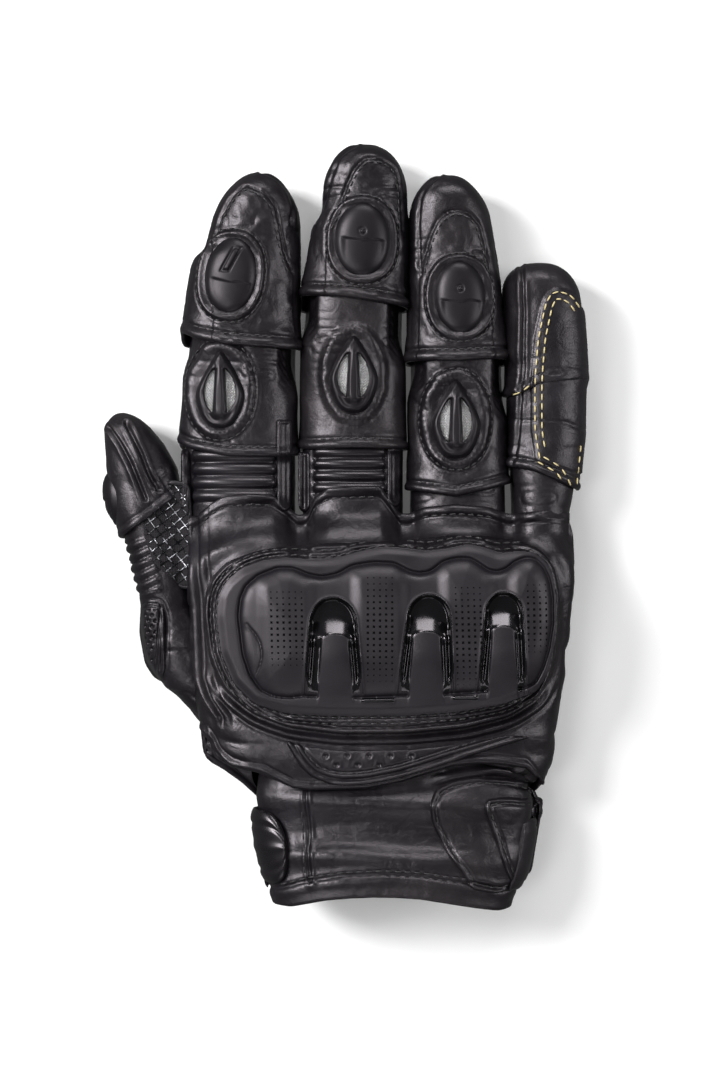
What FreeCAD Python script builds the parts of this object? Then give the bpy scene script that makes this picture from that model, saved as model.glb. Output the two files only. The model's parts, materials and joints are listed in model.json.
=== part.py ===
"""Right-hand motorcycle riding glove, short cuff, lying on its palm.

Frame: millimetres, +Y towards the fingertips, +X towards the little finger, +Z out of the back of the hand.
The origin is the centre of the glove's footprint, on the surface that it lies on.
Leather tubes are lofts of rounded rectangles. A panel sewn on a tube is a thin layer on its surface.
Every finger segment is a hollow sleeve. Its ends are cut back on the palm side, so that it can fold.
"""

import FreeCAD
import Part
import math
import os

V = FreeCAD.Vector

# ---- driving dimensions ----
LEATHER = 1.6  # outer leather of the hand and the cuff
LINING = 1.0  # fabric lining of the hand and the cuff
LINING_SETBACK = 2.0  # from the hand's wrist edge to its lining, which leaves room for the cuff to bend
SLEEVE = 2.4  # finger leather with its bonded lining
PATCH = 1.3  # a leather panel sewn on another
HINGE_GAP = 0.3  # from each hinge plane to the sleeve's end
FOLD_SPARE = 2.0  # degrees that a fold's cut goes past half the hinge's travel
FAR = 200.0  # longer than anything that a cutting block has to pass through

FLOOR_Z = 1.2  # underside of the hand and fingers, above the surface by the thickness of the palm patches
HAND_WRIST_Y, HAND_HEEL_Y, HAND_SLOPE_Y, HAND_WEB_Y = -81.0, -62.0, -10.0, 0.0
HAND_TOP_Z, HAND_WEB_Z = 36.2, 27.0
# y: left, right
HAND_SIDES = {HAND_WRIST_Y: (-34.0, 63.5), HAND_HEEL_Y: (-46.3, 65.5), HAND_SLOPE_Y: (-49.7, 70.6)}
HAND_ROUND = {"top_left": 12.0, "top_right": 14.0, "bottom_right": 13.0, "bottom_left": 22.0}
STUB_ROOT_Y = -12.0

FINGER_TOP_Z = 25.8
FINGER_ROUND = 10.5
FINGER_HINGE_Z = 9.5
KNUCKLE_DEG, MIDDLE_DEG = 70.0, 75.0
TIP_CAP = 1.2

# name: left edge, right edge, knuckle hinge, middle hinge, tip, slopes of the two edges past the middle hinge
FINGERS = {
    "index": (-50.2, -15.8, 17.0, 60.0, 109.3, 0.15, 0.03),
    "middle": (-15.0, 18.3, 19.0, 69.0, 118.8, 0.08, 0.03),
    "ring": (19.1, 50.4, 11.0, 52.0, 108.4, 0.06, 0.09),
    "little": (51.2, 74.7, 8.0, 40.0, 81.5, 0.03, 0.05),
}

# centres in the plan view
SLIDERS = {"index": (-36.2, 77.4), "middle": (4.6, 88.4), "ring": (35.0, 70.6)}
VENTS = {"index": (-39.6, 42.0), "middle": (1.9, 46.8), "ring": (33.7, 32.8)}

THUMB_ROOT = (-59.7, -24.0)  # its first hinge, on the thumb's centre line
THUMB_LEAN = 7.2  # degrees to the left of +Y
THUMB_HALF_WIDTH, THUMB_TOP_Z, THUMB_HINGE_Z = 10.6, 22.5, 9.5
THUMB_IP, THUMB_TIP = 24.0, 59.3  # along the thumb from its first hinge
THUMB_SLOPES = (0.02, 0.12)
THUMB_ROOT_DEG, THUMB_IP_DEG = 45.0, 55.0
THENAR_LEAN, THENAR_LENGTH, THENAR_OVERRUN = 27.0, 34.0, 12.0

CUFF_TOP_Y, CUFF_NECK_Y, CUFF_HEM_Y, CUFF_END_Y = -74.5, -86.0, -116.0, -119.9
# y: left, right, bottom, top, corner radius
CUFF_SECTIONS = {
    CUFF_TOP_Y: (-25.5, 54.5, 7.0, 30.0, 11.0),
    CUFF_NECK_Y: (-28.5, 56.5, 4.4, 32.2, 12.0),
    CUFF_HEM_Y: (-23.5, 51.5, 4.4, 35.0, 13.0),
}
STRAP_Y = (-114.0, -90.0)
STRAP_HINGE_Z = 18.0
STRAP_INNER, STRAP_OUTER = 1.6, 3.6  # distances out from the cuff's surface
TAB_X, TAB_TOP_Z = -14.0, 19.0

GUARD_TOP_Z, GUARD_WALL = 45.5, 2.6


def prism(points, low, high, axis="z"):
    """Closed block over a polygon: points are (x, y) for axis z, (y, z) for axis x and (x, z) for axis y."""
    place = {
        "z": lambda a, b, c: V(a, b, c),
        "x": lambda a, b, c: V(c, a, b),
        "y": lambda a, b, c: V(a, c, b),
    }[axis]
    ring = [place(a, b, low) for a, b in points]
    face = Part.Face(Part.makePolygon(ring + [ring[0]]))
    return face.extrude(place(0, 0, high) - place(0, 0, low))


def rounded_outline(corners, z):
    """Closed wire at height z through (x, y, radius) corners, each rounded by a tangent arc."""
    count = len(corners)
    ends = []
    for i, (x, y, radius) in enumerate(corners):
        here = V(x, y, z)
        before = V(*corners[i - 1][:2], z) - here
        after = V(*corners[(i + 1) % count][:2], z) - here
        before.normalize()
        after.normalize()
        half = before.getAngle(after) / 2
        run = radius / math.tan(half)
        middle = before + after
        middle.normalize()
        crown = here + middle * (radius / math.sin(half) - radius)
        ends.append((here + before * run, crown, here + after * run))
    edges = []
    for i, (start, crown, stop) in enumerate(ends):
        edges.append(Part.Arc(start, crown, stop).toShape())
        edges.append(Part.LineSegment(stop, ends[(i + 1) % count][0]).toShape())
    return Part.Wire(edges)


def plate(corners, low, high):
    """Block of a rounded outline between two heights."""
    return Part.Face(rounded_outline(corners, low)).extrude(V(0, 0, high - low))


def dome(corners, low, high, fillet):
    """Plate with its upper edge rounded."""
    body = plate(corners, low, high)
    rim = [e for e in body.Edges if all(abs(v.Z - high) < 1e-6 for v in e.Vertexes)]
    return body.makeFillet(fillet, rim)


def section(y, left, right, bottom, top, rounds):
    """Rounded rectangle at constant y. rounds go bottom left, bottom right, top right, top left."""
    corners = [(left, bottom), (right, bottom), (right, top), (left, top)]
    signs = [(1, 1), (-1, 1), (-1, -1), (1, -1)]
    arcs = []
    for i, ((x, z), (sx, sz), r) in enumerate(zip(corners, signs, rounds)):
        toward_x = V(x + sx * r, y, z)
        toward_z = V(x, y, z + sz * r)
        bow = r * (1 - math.sqrt(0.5))
        crown = V(x + sx * bow, y, z + sz * bow)
        ends = (toward_z, toward_x) if i % 2 == 0 else (toward_x, toward_z)
        arcs.append((ends[0], crown, ends[1]))
    edges = []
    for i, (start, crown, stop) in enumerate(arcs):
        edges.append(Part.Arc(start, crown, stop).toShape())
        edges.append(Part.LineSegment(stop, arcs[(i + 1) % 4][0]).toShape())
    return Part.Wire(edges)


def loft(wires):
    return Part.makeLoft(wires, True, True)


def hand_block(inset):
    """Hand without its finger stubs, inset from the leather's outer face. A cavity runs on past the wrist."""
    r = [HAND_ROUND[k] - inset for k in ("bottom_left", "bottom_right", "top_right", "top_left")]
    flat_r = [min(x, (HAND_WEB_Z - FLOOR_Z) / 2 - inset - 0.5) for x in r]
    low, top = FLOOR_Z + inset, HAND_TOP_Z - inset
    wires = []
    for y, (left, right) in HAND_SIDES.items():
        overrun = 1.0 if inset > 0 and y == HAND_WRIST_Y else 0.0
        wires.append(section(y - overrun, left + inset, right - inset, low, top, r))
    left, right = HAND_SIDES[HAND_SLOPE_Y]
    wires.append(section(HAND_WEB_Y - inset, left + inset, right - inset, low, HAND_WEB_Z - inset, flat_r))
    return loft(wires)


def beyond(y, z, degrees, side):
    """Block of all that is on one side of a fold hinged at (y, z). side is 1 for the moving piece."""
    half = math.radians(degrees / 2 + FOLD_SPARE)
    edge, far = y + side * HINGE_GAP, y + side * 2 * FAR
    lean = side * (z + FAR) * math.tan(half)
    return prism([(edge + lean, -FAR), (edge, z), (edge, FAR), (far, FAR), (far, -FAR)], -FAR, FAR, "x")


def straight_sleeve(left, right, low_y, high_y, top, inset):
    r = [FINGER_ROUND - inset] * 4
    sides = (left + inset, right - inset, FLOOR_Z + inset, top - inset)
    return loft([section(y, *sides, r) for y in (low_y, high_y)])


def tipped_sleeve(left, right, start_y, tip_y, slope_left, slope_right, top, inset):
    """Closed finger end: edges that slope inward, a tangent arc round the tip, and rounded long edges."""
    left, right, tip_y = left + inset, right - inset, tip_y - inset
    lean_left, lean_right = math.atan(slope_left), math.atan(slope_right)
    reach = tip_y - start_y
    spread = 1 / math.cos(lean_left) + 1 / math.cos(lean_right) - slope_left - slope_right
    radius = (right - left - reach * (slope_left + slope_right)) / spread
    centre_y = tip_y - radius
    centre_x = left + (centre_y - start_y) * slope_left + radius / math.cos(lean_left)
    low, high = FLOOR_Z + inset, top - inset
    a, b = V(left, start_y, low), V(right, start_y, low)
    touch_left = V(centre_x - radius * math.cos(lean_left), centre_y + radius * math.sin(lean_left), low)
    touch_right = V(centre_x + radius * math.cos(lean_right), centre_y + radius * math.sin(lean_right), low)
    tip = V(centre_x, tip_y, low)
    ring = Part.Wire(
        [
            Part.LineSegment(a, b).toShape(),
            Part.LineSegment(b, touch_right).toShape(),
            Part.Arc(touch_right, tip, touch_left).toShape(),
            Part.LineSegment(touch_left, a).toShape(),
        ]
    )
    body = Part.Face(ring).extrude(V(0, 0, high - low))
    rims = []
    for edge in body.Edges:
        ys = [v.Y for v in edge.Vertexes]
        zs = [v.Z for v in edge.Vertexes]
        if max(zs) - min(zs) < 1e-6 and max(ys) > start_y + 1e-6:
            rims.append(edge)
    return body.makeFillet(FINGER_ROUND - inset - 0.2, rims)


def finger_lower(name, inset):
    left, right, knuckle, middle = FINGERS[name][:4]
    return straight_sleeve(left, right, STUB_ROOT_Y, middle + 20, FINGER_TOP_Z, inset)


def finger_upper(name, inset):
    left, right, _, middle, tip, slope_left, slope_right = FINGERS[name]
    return tipped_sleeve(left, right, middle - 10, tip, slope_left, slope_right, FINGER_TOP_Z, inset)


def from_thumb(shape, lean=THUMB_LEAN):
    """Moves a shape from the thumb's frame, with its first hinge as origin and its centre line as Y."""
    moved = shape.copy()
    moved.rotate(V(0, 0, 0), V(0, 0, 1), lean)
    moved.translate(V(*THUMB_ROOT, 0))
    return moved


def thumb_sleeve(low_y, high_y, inset):
    return straight_sleeve(-THUMB_HALF_WIDTH, THUMB_HALF_WIDTH, low_y, high_y, THUMB_TOP_Z, inset)


def thumb_tip(inset):
    width = (-THUMB_HALF_WIDTH, THUMB_HALF_WIDTH)
    return tipped_sleeve(*width, THUMB_IP - 12, THUMB_TIP, *THUMB_SLOPES, THUMB_TOP_Z, inset)


def hand_solid(inset):
    """Hand with its five stubs, inset from the leather's outer face, cut at the knuckle hinges."""
    solid = hand_block(inset)
    for name, (left, right, knuckle, *_) in FINGERS.items():
        stub = straight_sleeve(left, right, STUB_ROOT_Y, knuckle + 12, FINGER_TOP_Z, inset)
        solid = solid.fuse(stub.common(beyond(knuckle, FINGER_HINGE_Z, KNUCKLE_DEG, -1)))
    thenar = from_thumb(thumb_sleeve(-THENAR_LENGTH, THENAR_OVERRUN, inset), THENAR_LEAN)
    fold = from_thumb(beyond(0, THUMB_HINGE_Z, THUMB_ROOT_DEG, -1))
    return solid.fuse(thenar.common(fold)).removeSplitter()


def cuff_solid(inset, low_y=CUFF_HEM_Y, extra=0.0):
    """Cuff's oval tube, inset from the leather's outer face. extra lengthens both ends of a cavity."""
    wires = []
    for y, (left, right, bottom, top, r) in CUFF_SECTIONS.items():
        y = {CUFF_TOP_Y: CUFF_TOP_Y + extra, CUFF_HEM_Y: low_y - extra}.get(y, y)
        rounds = [r - inset] * 4
        wires.append(section(y, left + inset, right - inset, bottom + inset, top - inset, rounds))
    return loft(wires)


def cuff_end(inset, extra=0.0):
    """Last stretch of the cuff, where its edge is bound."""
    left, right, bottom, top, r = CUFF_SECTIONS[CUFF_HEM_Y]
    rounds = [r - inset] * 4
    ends = (CUFF_HEM_Y + extra, CUFF_END_Y - extra)
    return loft([section(y, left + inset, right - inset, bottom + inset, top - inset, rounds) for y in ends])


def cuff_layer(inner, outer, cutter):
    """Thin layer round the cuff between two distances from its surface, inside the cutter."""
    return cuff_solid(-outer).cut(cuff_solid(-inner)).common(cutter)


def make_hand(parts):
    outer, leather_inside, lining_inside = hand_solid(0), hand_solid(LEATHER), hand_solid(LEATHER + LINING)
    seam_z = 17.0
    shell = outer.cut(leather_inside)
    parts["back_panel"] = shell.common(Part.makeBox(2 * FAR, 2 * FAR, FAR, V(-FAR, -FAR, seam_z)))
    parts["palm_panel"] = shell.common(Part.makeBox(2 * FAR, 2 * FAR, FAR, V(-FAR, -FAR, seam_z - FAR)))
    parts["hand_lining"] = leather_inside.cut(lining_inside).common(
        Part.makeBox(2 * FAR, 2 * FAR, FAR, V(-FAR, HAND_WRIST_Y + LINING_SETBACK, -FAR / 2))
    )
    parts["palm_patch"] = plate([(-20, -42, 8), (36, -42, 8), (36, -8, 8), (-20, -8, 8)], 0, FLOOR_Z)
    parts["heel_pad"] = plate([(14, -74, 9), (48, -74, 9), (52, -46, 9), (14, -46, 9)], 0, FLOOR_Z)
    return outer


def make_guard(parts, hand):
    """Knuckle guard: a hard shell over a foam pad, in a sewn leather welt, with three channel inserts."""
    welt = [(-44.5, -5, 19), (66.0, -3, 12), (62.5, -60, 17), (-40, -66, 24)]
    shell = [(-33, -9, 13), (62, -7.5, 9), (58, -53, 13), (-30, -57, 19)]
    inside = [(-30.4, -11.6, 10.4), (59.4, -10.1, 6.4), (55.7, -50.4, 10.4), (-27.7, -54.4, 16.4)]
    low = 20.0
    surface = hand_block(0)
    body = dome(shell, low, GUARD_TOP_Z, 6.0).cut(surface)
    core = dome(inside, low, GUARD_TOP_Z - GUARD_WALL, 4.0).cut(surface)
    channels = []
    for centre, half, top_y in ((-4.0, 6.6, -22.5), (25.5, 6.2, -22.0), (47.0, 5.0, -21.5)):
        spread = 1.6
        tongue = [
            (centre - half - spread, -51.5, 1.0),
            (centre + half + spread, -51.5, 1.0),
            (centre + half, top_y, half - 0.6),
            (centre - half, top_y, half - 0.6),
        ]
        channels.append(plate(tongue, GUARD_TOP_Z - 1.6, GUARD_TOP_Z + 1))
    slots = Part.makeCompound(channels)
    recessed = body.cut(core).cut(slots)
    below_top = Part.makeBox(2 * FAR, 2 * FAR, GUARD_TOP_Z - 0.6, V(-FAR, -FAR, 0))
    parts["guard_shell"] = recessed
    parts["guard_foam"] = core
    parts["guard_channel_inserts"] = Part.makeCompound([c.common(below_top).common(body) for c in channels])
    layer = hand_block(-2.2).cut(surface)
    opening = plate(shell, low, GUARD_TOP_Z + 5)
    parts["guard_welt"] = layer.common(plate(welt, low, GUARD_TOP_Z)).cut(opening)
    vent = [(-14, -68.6, 1.5), (58, -66.2, 1.5), (30, -76, 6), (0, -79.6, 5)]
    wrist_layer = hand_block(-PATCH).cut(surface)
    panel = wrist_layer.common(plate(vent, low, GUARD_TOP_Z)).cut(plate(welt, low, GUARD_TOP_Z))
    holes = [
        Part.makeCylinder(0.8, 10, V(4 + 7.5 * i + 3.5 * (row % 2), -71.2 - 3.4 * row, HAND_TOP_Z - 2))
        for row in range(2)
        for i in range(5 - row)
    ]
    parts["wrist_vent_panel"] = panel.cut(Part.makeCompound(holes))


def make_finger(parts, name):
    left, right, knuckle, middle, tip = FINGERS[name][:5]
    past_knuckle = beyond(knuckle, FINGER_HINGE_Z, KNUCKLE_DEG, 1)
    before_middle = beyond(middle, FINGER_HINGE_Z, MIDDLE_DEG, -1)
    past_middle = beyond(middle, FINGER_HINGE_Z, MIDDLE_DEG, 1)
    lower, upper = finger_lower(name, 0), finger_upper(name, 0)
    lower_shell = lower.cut(finger_lower(name, SLEEVE))
    parts[f"{name}_lower_sleeve"] = lower_shell.common(past_knuckle).common(before_middle)
    parts[f"{name}_upper_sleeve"] = upper.cut(finger_upper(name, SLEEVE)).common(past_middle)
    cap_start = tip - 13.0
    cap = finger_upper(name, -TIP_CAP).cut(upper)
    parts[f"{name}_tip_cap"] = cap.common(Part.makeBox(2 * FAR, FAR, 2 * FAR, V(-FAR, cap_start, -FAR)))
    if name == "little":
        make_side_panels(parts, past_knuckle, before_middle, past_middle, cap_start)
        return
    make_slider(parts, name, *SLIDERS[name], upper)
    make_vent(parts, name, *VENTS[name], lower)
    if name != "ring":
        make_ribs(parts, name, (left + right) / 2, knuckle)


def make_side_panels(parts, past_knuckle, before_middle, past_middle, cap_start):
    """Outer guard panels of the little finger, one on each segment."""
    outer_side = Part.makeBox(FAR, FAR, FAR, V(66.5, -50, 5.0))
    before_cap = Part.makeBox(2 * FAR, FAR, FAR, V(-FAR, cap_start - 0.3 - FAR, -FAR / 2))
    lower = finger_lower("little", -PATCH).cut(finger_lower("little", 0))
    upper = finger_upper("little", -PATCH).cut(finger_upper("little", 0))
    parts["little_lower_side_panel"] = lower.common(outer_side).common(past_knuckle).common(before_middle)
    parts["little_upper_side_panel"] = upper.common(outer_side).common(past_middle).common(before_cap)


def make_slider(parts, name, x, y, sleeve):
    """Oval moulded slider on the end segment, with a lower flat toward the fingertip."""
    half_wide, half_long, rise = 7.4, 11.6, 3.2
    corners = [
        (x - half_wide, y - half_long, 6.8),
        (x + half_wide, y - half_long, 6.8),
        (x + half_wide, y + half_long, 6.0),
        (x - half_wide, y + half_long, 6.0),
    ]
    body = dome(corners, FINGER_TOP_Z - 6, FINGER_TOP_Z + rise, 1.6).cut(sleeve)
    crown = FINGER_TOP_Z + rise
    far_y = y - half_long - 1
    slope = [(y - 2, crown + 1), (y - 2, crown), (far_y, FINGER_TOP_Z + 1), (far_y, crown + 1)]
    bevel = prism(slope, -FAR, FAR, "x")
    parts[f"{name}_slider"] = body.cut(bevel)


def teardrop(x, y, half_wide, half_long):
    """Corners of a teardrop that points along +Y."""
    return [
        (x - half_wide * 0.72, y - half_long, half_wide * 0.55),
        (x + half_wide * 0.72, y - half_long, half_wide * 0.55),
        (x + half_wide, y - half_long * 0.1, half_wide * 0.5),
        (x + 0.9, y + half_long, 0.7),
        (x - 0.9, y + half_long, 0.7),
        (x - half_wide, y - half_long * 0.1, half_wide * 0.5),
    ]


def make_vent(parts, name, x, y, sleeve):
    """Moulded teardrop vent cap with two slots over a wire mesh."""
    half_wide, half_long, rise, wall = 8.2, 12.2, 3.6, 1.5
    rim = teardrop(x, y, half_wide, half_long)
    room = teardrop(x, y - 0.4, half_wide - wall, half_long - wall * 1.6)
    cap = plate(rim, FINGER_TOP_Z - 8, FINGER_TOP_Z + rise).cut(sleeve)
    cap = cap.cut(plate(room, FINGER_TOP_Z - 8, FINGER_TOP_Z + rise - 1.5))
    for side in (-1, 1):
        slot = [
            (x + side * 1.3, y - 6.0, 0.5),
            (x + side * 4.9, y - 5.0, 1.0),
            (x + side * 4.6, y - 0.5, 1.0),
            (x + side * 1.5, y + 6.0, 0.1),
            (x + side * 1.3, y + 6.0, 0.1),
        ]
        if side > 0:
            slot.reverse()
        cap = cap.cut(plate(slot, FINGER_TOP_Z + 0.5, FINGER_TOP_Z + rise + 1))
    parts[f"{name}_vent_cap"] = cap
    net = teardrop(x, y - 0.4, half_wide - wall - 0.1, half_long - wall * 1.6 - 0.1)
    parts[f"{name}_vent_mesh"] = plate(net, FINGER_TOP_Z, FINGER_TOP_Z + 0.5)


def make_ribs(parts, name, x, knuckle):
    """Stretch ribs on the back of the hand's stub, just behind the knuckle hinge."""
    rib_r, pitch, count, half_long = 1.7, 3.6, 3, 11.0
    sleeve = finger_lower(name, 0)
    ribs = []
    for i in range(count):
        y = knuckle - HINGE_GAP - rib_r - 0.2 - i * pitch
        bar = Part.makeCylinder(rib_r, 2 * half_long, V(x - half_long, y, FINGER_TOP_Z), V(1, 0, 0))
        ribs.append(bar.cut(sleeve).cut(hand_block(0)))
    parts[f"{name}_stretch_ribs"] = Part.makeCompound(ribs)


def make_thumb(parts, hand):
    lower, upper = thumb_sleeve(-15, THUMB_IP + 15, 0), thumb_tip(0)
    past_root = beyond(0, THUMB_HINGE_Z, THUMB_ROOT_DEG, 1)
    before_ip = beyond(THUMB_IP, THUMB_HINGE_Z, THUMB_IP_DEG, -1)
    past_ip = beyond(THUMB_IP, THUMB_HINGE_Z, THUMB_IP_DEG, 1)
    lower_shell = lower.cut(thumb_sleeve(-16, THUMB_IP + 16, SLEEVE)).common(past_root).common(before_ip)
    upper_shell = upper.cut(thumb_tip(SLEEVE)).common(past_ip)
    parts["thumb_lower_sleeve"] = from_thumb(lower_shell)
    parts["thumb_upper_sleeve"] = from_thumb(upper_shell)
    mesh_zone = [(0.5, 3.0, 1.5), (9.5, 3.0, 3.0), (9.5, THUMB_IP - 2.5, 3.0), (3.5, THUMB_IP - 2.5, 1.5)]
    grown = thumb_sleeve(-15, THUMB_IP + 15, -0.9).cut(lower)
    parts["thumb_mesh_panel"] = from_thumb(grown.common(plate(mesh_zone, 12.0, 40.0)))
    slider_zone = Part.makeBox(FAR, 15.0, 10.0, V(-8 - FAR, THUMB_IP + 2, 7.0))
    parts["thumb_slider"] = from_thumb(thumb_tip(-1.2).cut(upper).common(slider_zone))
    rib_skin = thumb_sleeve(-15, THUMB_IP + 15, -1.2).cut(lower)
    ribs = []
    for i in range(3):
        rib_zone = Part.makeBox(FAR, 2.2, FAR, V(-2.0 - FAR, THUMB_IP - 3.0 - 3.0 * i, 9.0))
        ribs.append(from_thumb(rib_skin.common(rib_zone)))
    parts["thumb_stretch_ribs"] = Part.makeCompound(ribs)
    pad_zone = Part.makeBox(FAR, 20.0, FAR, V(-2.5 - FAR, -24.0, 7.0))
    pad = thumb_sleeve(-THENAR_LENGTH, 0, -1.5).cut(thumb_sleeve(-THENAR_LENGTH - 1, 1, 0)).common(pad_zone)
    parts["thumb_base_pad"] = from_thumb(pad, THENAR_LEAN).cut(hand)


def make_cuff(parts):
    outer, inside = cuff_solid(0), cuff_solid(LEATHER, extra=1.0)
    inner = cuff_solid(LEATHER + LINING, extra=2.0)
    whole = Part.makeBox(2 * FAR, CUFF_TOP_Y - CUFF_HEM_Y, FAR, V(-FAR, CUFF_HEM_Y, -FAR / 2))
    slot = Part.makeBox(14.0, 26.0, 12.0, V(-2.0, CUFF_HEM_Y - 0.01, -4.0))
    shell = outer.cut(inside)
    parts["cuff_band"] = shell.cut(slot)
    parts["cuff_gusset"] = shell.common(slot)
    parts["cuff_lining"] = inside.common(whole).cut(inner)
    parts["cuff_binding"] = cuff_end(-0.8).cut(cuff_end(LEATHER + LINING, 1.0))
    low_y, high_y = STRAP_Y
    length = high_y - low_y
    root_zone = Part.makeBox(FAR, length, FAR, V(22.0, low_y, STRAP_HINGE_Z + 0.3))
    parts["strap_root_patch"] = cuff_layer(0, 2.0, root_zone)
    loop_zone = Part.makeBox(44.0, length - 4, 12.0, V(-12.0, low_y + 2, -5.0))
    hook_zone = Part.makeBox(26.0, length - 6, 12.0, V(-10.0, low_y + 3, -5.0))
    parts["loop_patch"] = cuff_layer(0, 0.6, loop_zone)
    parts["hook_patch"] = cuff_layer(0.9, STRAP_INNER, hook_zone)
    flap_zone = Part.makeBox(FAR, length, FAR, V(TAB_X, low_y, STRAP_HINGE_Z - 0.3 - FAR))
    tab_zone = Part.makeBox(FAR, length - 4, FAR, V(TAB_X - FAR, low_y + 2, TAB_TOP_Z - FAR))
    parts["wrist_strap"] = cuff_layer(STRAP_INNER, STRAP_OUTER, flap_zone)
    parts["strap_pull_tab"] = cuff_layer(STRAP_INNER, STRAP_OUTER, tab_zone)


def strap_hinge():
    """Two points on the strap's hinge line, which follows the cuff's outer edge."""
    neck, hem = CUFF_SECTIONS[CUFF_NECK_Y][1], CUFF_SECTIONS[CUFF_HEM_Y][1]
    return V(neck + STRAP_OUTER, CUFF_NECK_Y, STRAP_HINGE_Z), V(hem + STRAP_OUTER, CUFF_HEM_Y, STRAP_HINGE_Z)


def main():
    parts = {}
    hand = make_hand(parts)
    make_guard(parts, hand)
    for name in FINGERS:
        make_finger(parts, name)
    make_thumb(parts, hand)
    make_cuff(parts)
    os.makedirs("parts", exist_ok=True)
    for name, shape in parts.items():
        solids = shape.Solids
        print(f"{name:26s} solids {len(solids)} valid {shape.isValid()} volume {shape.Volume:9.1f}")
        Part.makeCompound(solids).exportStep(f"parts/{name}.step")
    box = Part.makeCompound(list(parts.values())).BoundBox
    print("low ", round(box.XMin, 2), round(box.YMin, 2), round(box.ZMin, 2))
    print("high", round(box.XMax, 2), round(box.YMax, 2), round(box.ZMax, 2))
    print("strap hinge", strap_hinge())


main()
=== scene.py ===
"""Looks of a right-hand motorcycle glove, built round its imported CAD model.

Lengths in this file are millimetres unless a name says otherwise, and become metres where a mesh is made.
+Y points to the fingertips, +X to the little finger and +Z out of the back of the hand.
"""

import json
import math

import bpy
import bmesh
import numpy as np
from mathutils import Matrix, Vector
from mathutils.bvhtree import BVHTree


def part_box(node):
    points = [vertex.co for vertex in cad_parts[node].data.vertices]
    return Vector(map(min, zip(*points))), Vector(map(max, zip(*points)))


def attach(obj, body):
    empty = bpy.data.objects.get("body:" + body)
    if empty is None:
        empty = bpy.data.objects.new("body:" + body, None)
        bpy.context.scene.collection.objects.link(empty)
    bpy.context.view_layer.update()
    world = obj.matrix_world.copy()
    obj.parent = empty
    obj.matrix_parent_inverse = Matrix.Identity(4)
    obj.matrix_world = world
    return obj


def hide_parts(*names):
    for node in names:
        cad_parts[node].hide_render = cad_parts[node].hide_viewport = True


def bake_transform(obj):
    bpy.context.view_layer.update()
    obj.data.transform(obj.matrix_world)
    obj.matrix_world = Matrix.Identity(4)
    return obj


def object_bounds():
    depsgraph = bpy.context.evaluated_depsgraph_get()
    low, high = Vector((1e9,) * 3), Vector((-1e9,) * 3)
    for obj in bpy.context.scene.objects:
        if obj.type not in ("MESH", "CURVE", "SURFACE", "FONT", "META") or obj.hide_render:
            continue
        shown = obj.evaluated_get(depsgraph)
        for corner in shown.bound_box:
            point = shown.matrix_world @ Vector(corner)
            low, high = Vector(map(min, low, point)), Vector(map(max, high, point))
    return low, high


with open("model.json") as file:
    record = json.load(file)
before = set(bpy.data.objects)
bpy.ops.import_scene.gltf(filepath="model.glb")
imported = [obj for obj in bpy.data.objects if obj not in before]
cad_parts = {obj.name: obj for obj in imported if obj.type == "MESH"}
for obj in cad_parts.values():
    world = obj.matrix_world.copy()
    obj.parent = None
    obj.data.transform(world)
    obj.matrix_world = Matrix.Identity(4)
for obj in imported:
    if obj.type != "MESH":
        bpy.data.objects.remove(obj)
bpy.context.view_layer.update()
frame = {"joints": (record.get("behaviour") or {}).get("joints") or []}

MM = 0.001
ABOVE_ALL = 80.0  # a height clear of the whole glove
LATTICE = np.random.default_rng(11).random((32, 32, 32))  # what all noise is read from

# ---------------------------------------------------------------- numbers and curves


def smoothstep(a, b, x):
    """Smooth rise from 0 at a to 1 at b. A rise from b to a falls instead."""
    t = np.clip((x - a) / (b - a), 0, 1)
    return t * t * (3 - 2 * t)


def noise(p, size):
    """Smooth noise from -1 to 1 at points p. Its features are about size across: one number, or three."""
    q = np.asarray(p, float) / size + 100.0
    i = np.floor(q).astype(int)
    f = q - i
    f = f * f * (3 - 2 * f)
    total = 0.0
    for corner in range(8):
        d = np.array([corner & 1, corner >> 1 & 1, corner >> 2 & 1])
        w = np.prod(np.where(d == 1, f, 1 - f), axis=-1)
        j = (i + d) % 32
        total = total + w * LATTICE[j[..., 0], j[..., 1], j[..., 2]]
    return total * 2 - 1


def creases(p, size, sharp=5.0):
    """Thin valley lines where noise changes sign: 0 in the open, 1 in a crease."""
    return np.exp(-sharp * np.abs(noise(p, size)))


def soften(values, count):
    """Values evened out along their first axis, count times."""
    for _ in range(count):
        padded = np.concatenate([values[:1], values, values[-1:]])
        values = (padded[:-2] + 2 * padded[1:-1] + padded[2:]) / 4
    return values


def curve_of(points, softness=12):
    """y(x) through the points, with its corners rounded."""
    points = np.array(sorted(points), float)
    x = np.arange(points[0, 0], points[-1, 0] + 0.25, 0.25)
    y = soften(np.interp(x, points[:, 0], points[:, 1]), softness)
    return lambda at: np.interp(at, x, y)


def smooth_loop(points, step=0.8, closed=True, softness=3):
    """Points of a rounded path through the given ones, evenly spaced."""
    p = np.array(points, float)
    if closed:
        p = np.vstack([p, p[:1]])
    lengths = np.concatenate([[0], np.cumsum(np.linalg.norm(np.diff(p, axis=0), axis=1))])
    count = max(8, int(lengths[-1] / step))
    at = np.linspace(0, lengths[-1], count, endpoint=not closed)
    q = np.stack([np.interp(at, lengths, p[:, k]) for k in range(p.shape[1])], axis=1)
    for _ in range(softness):
        if closed:
            q = (np.roll(q, 1, 0) + 2 * q + np.roll(q, -1, 0)) / 4
        else:
            q[1:-1] = (q[:-2] + 2 * q[1:-1] + q[2:]) / 4
    return q


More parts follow.
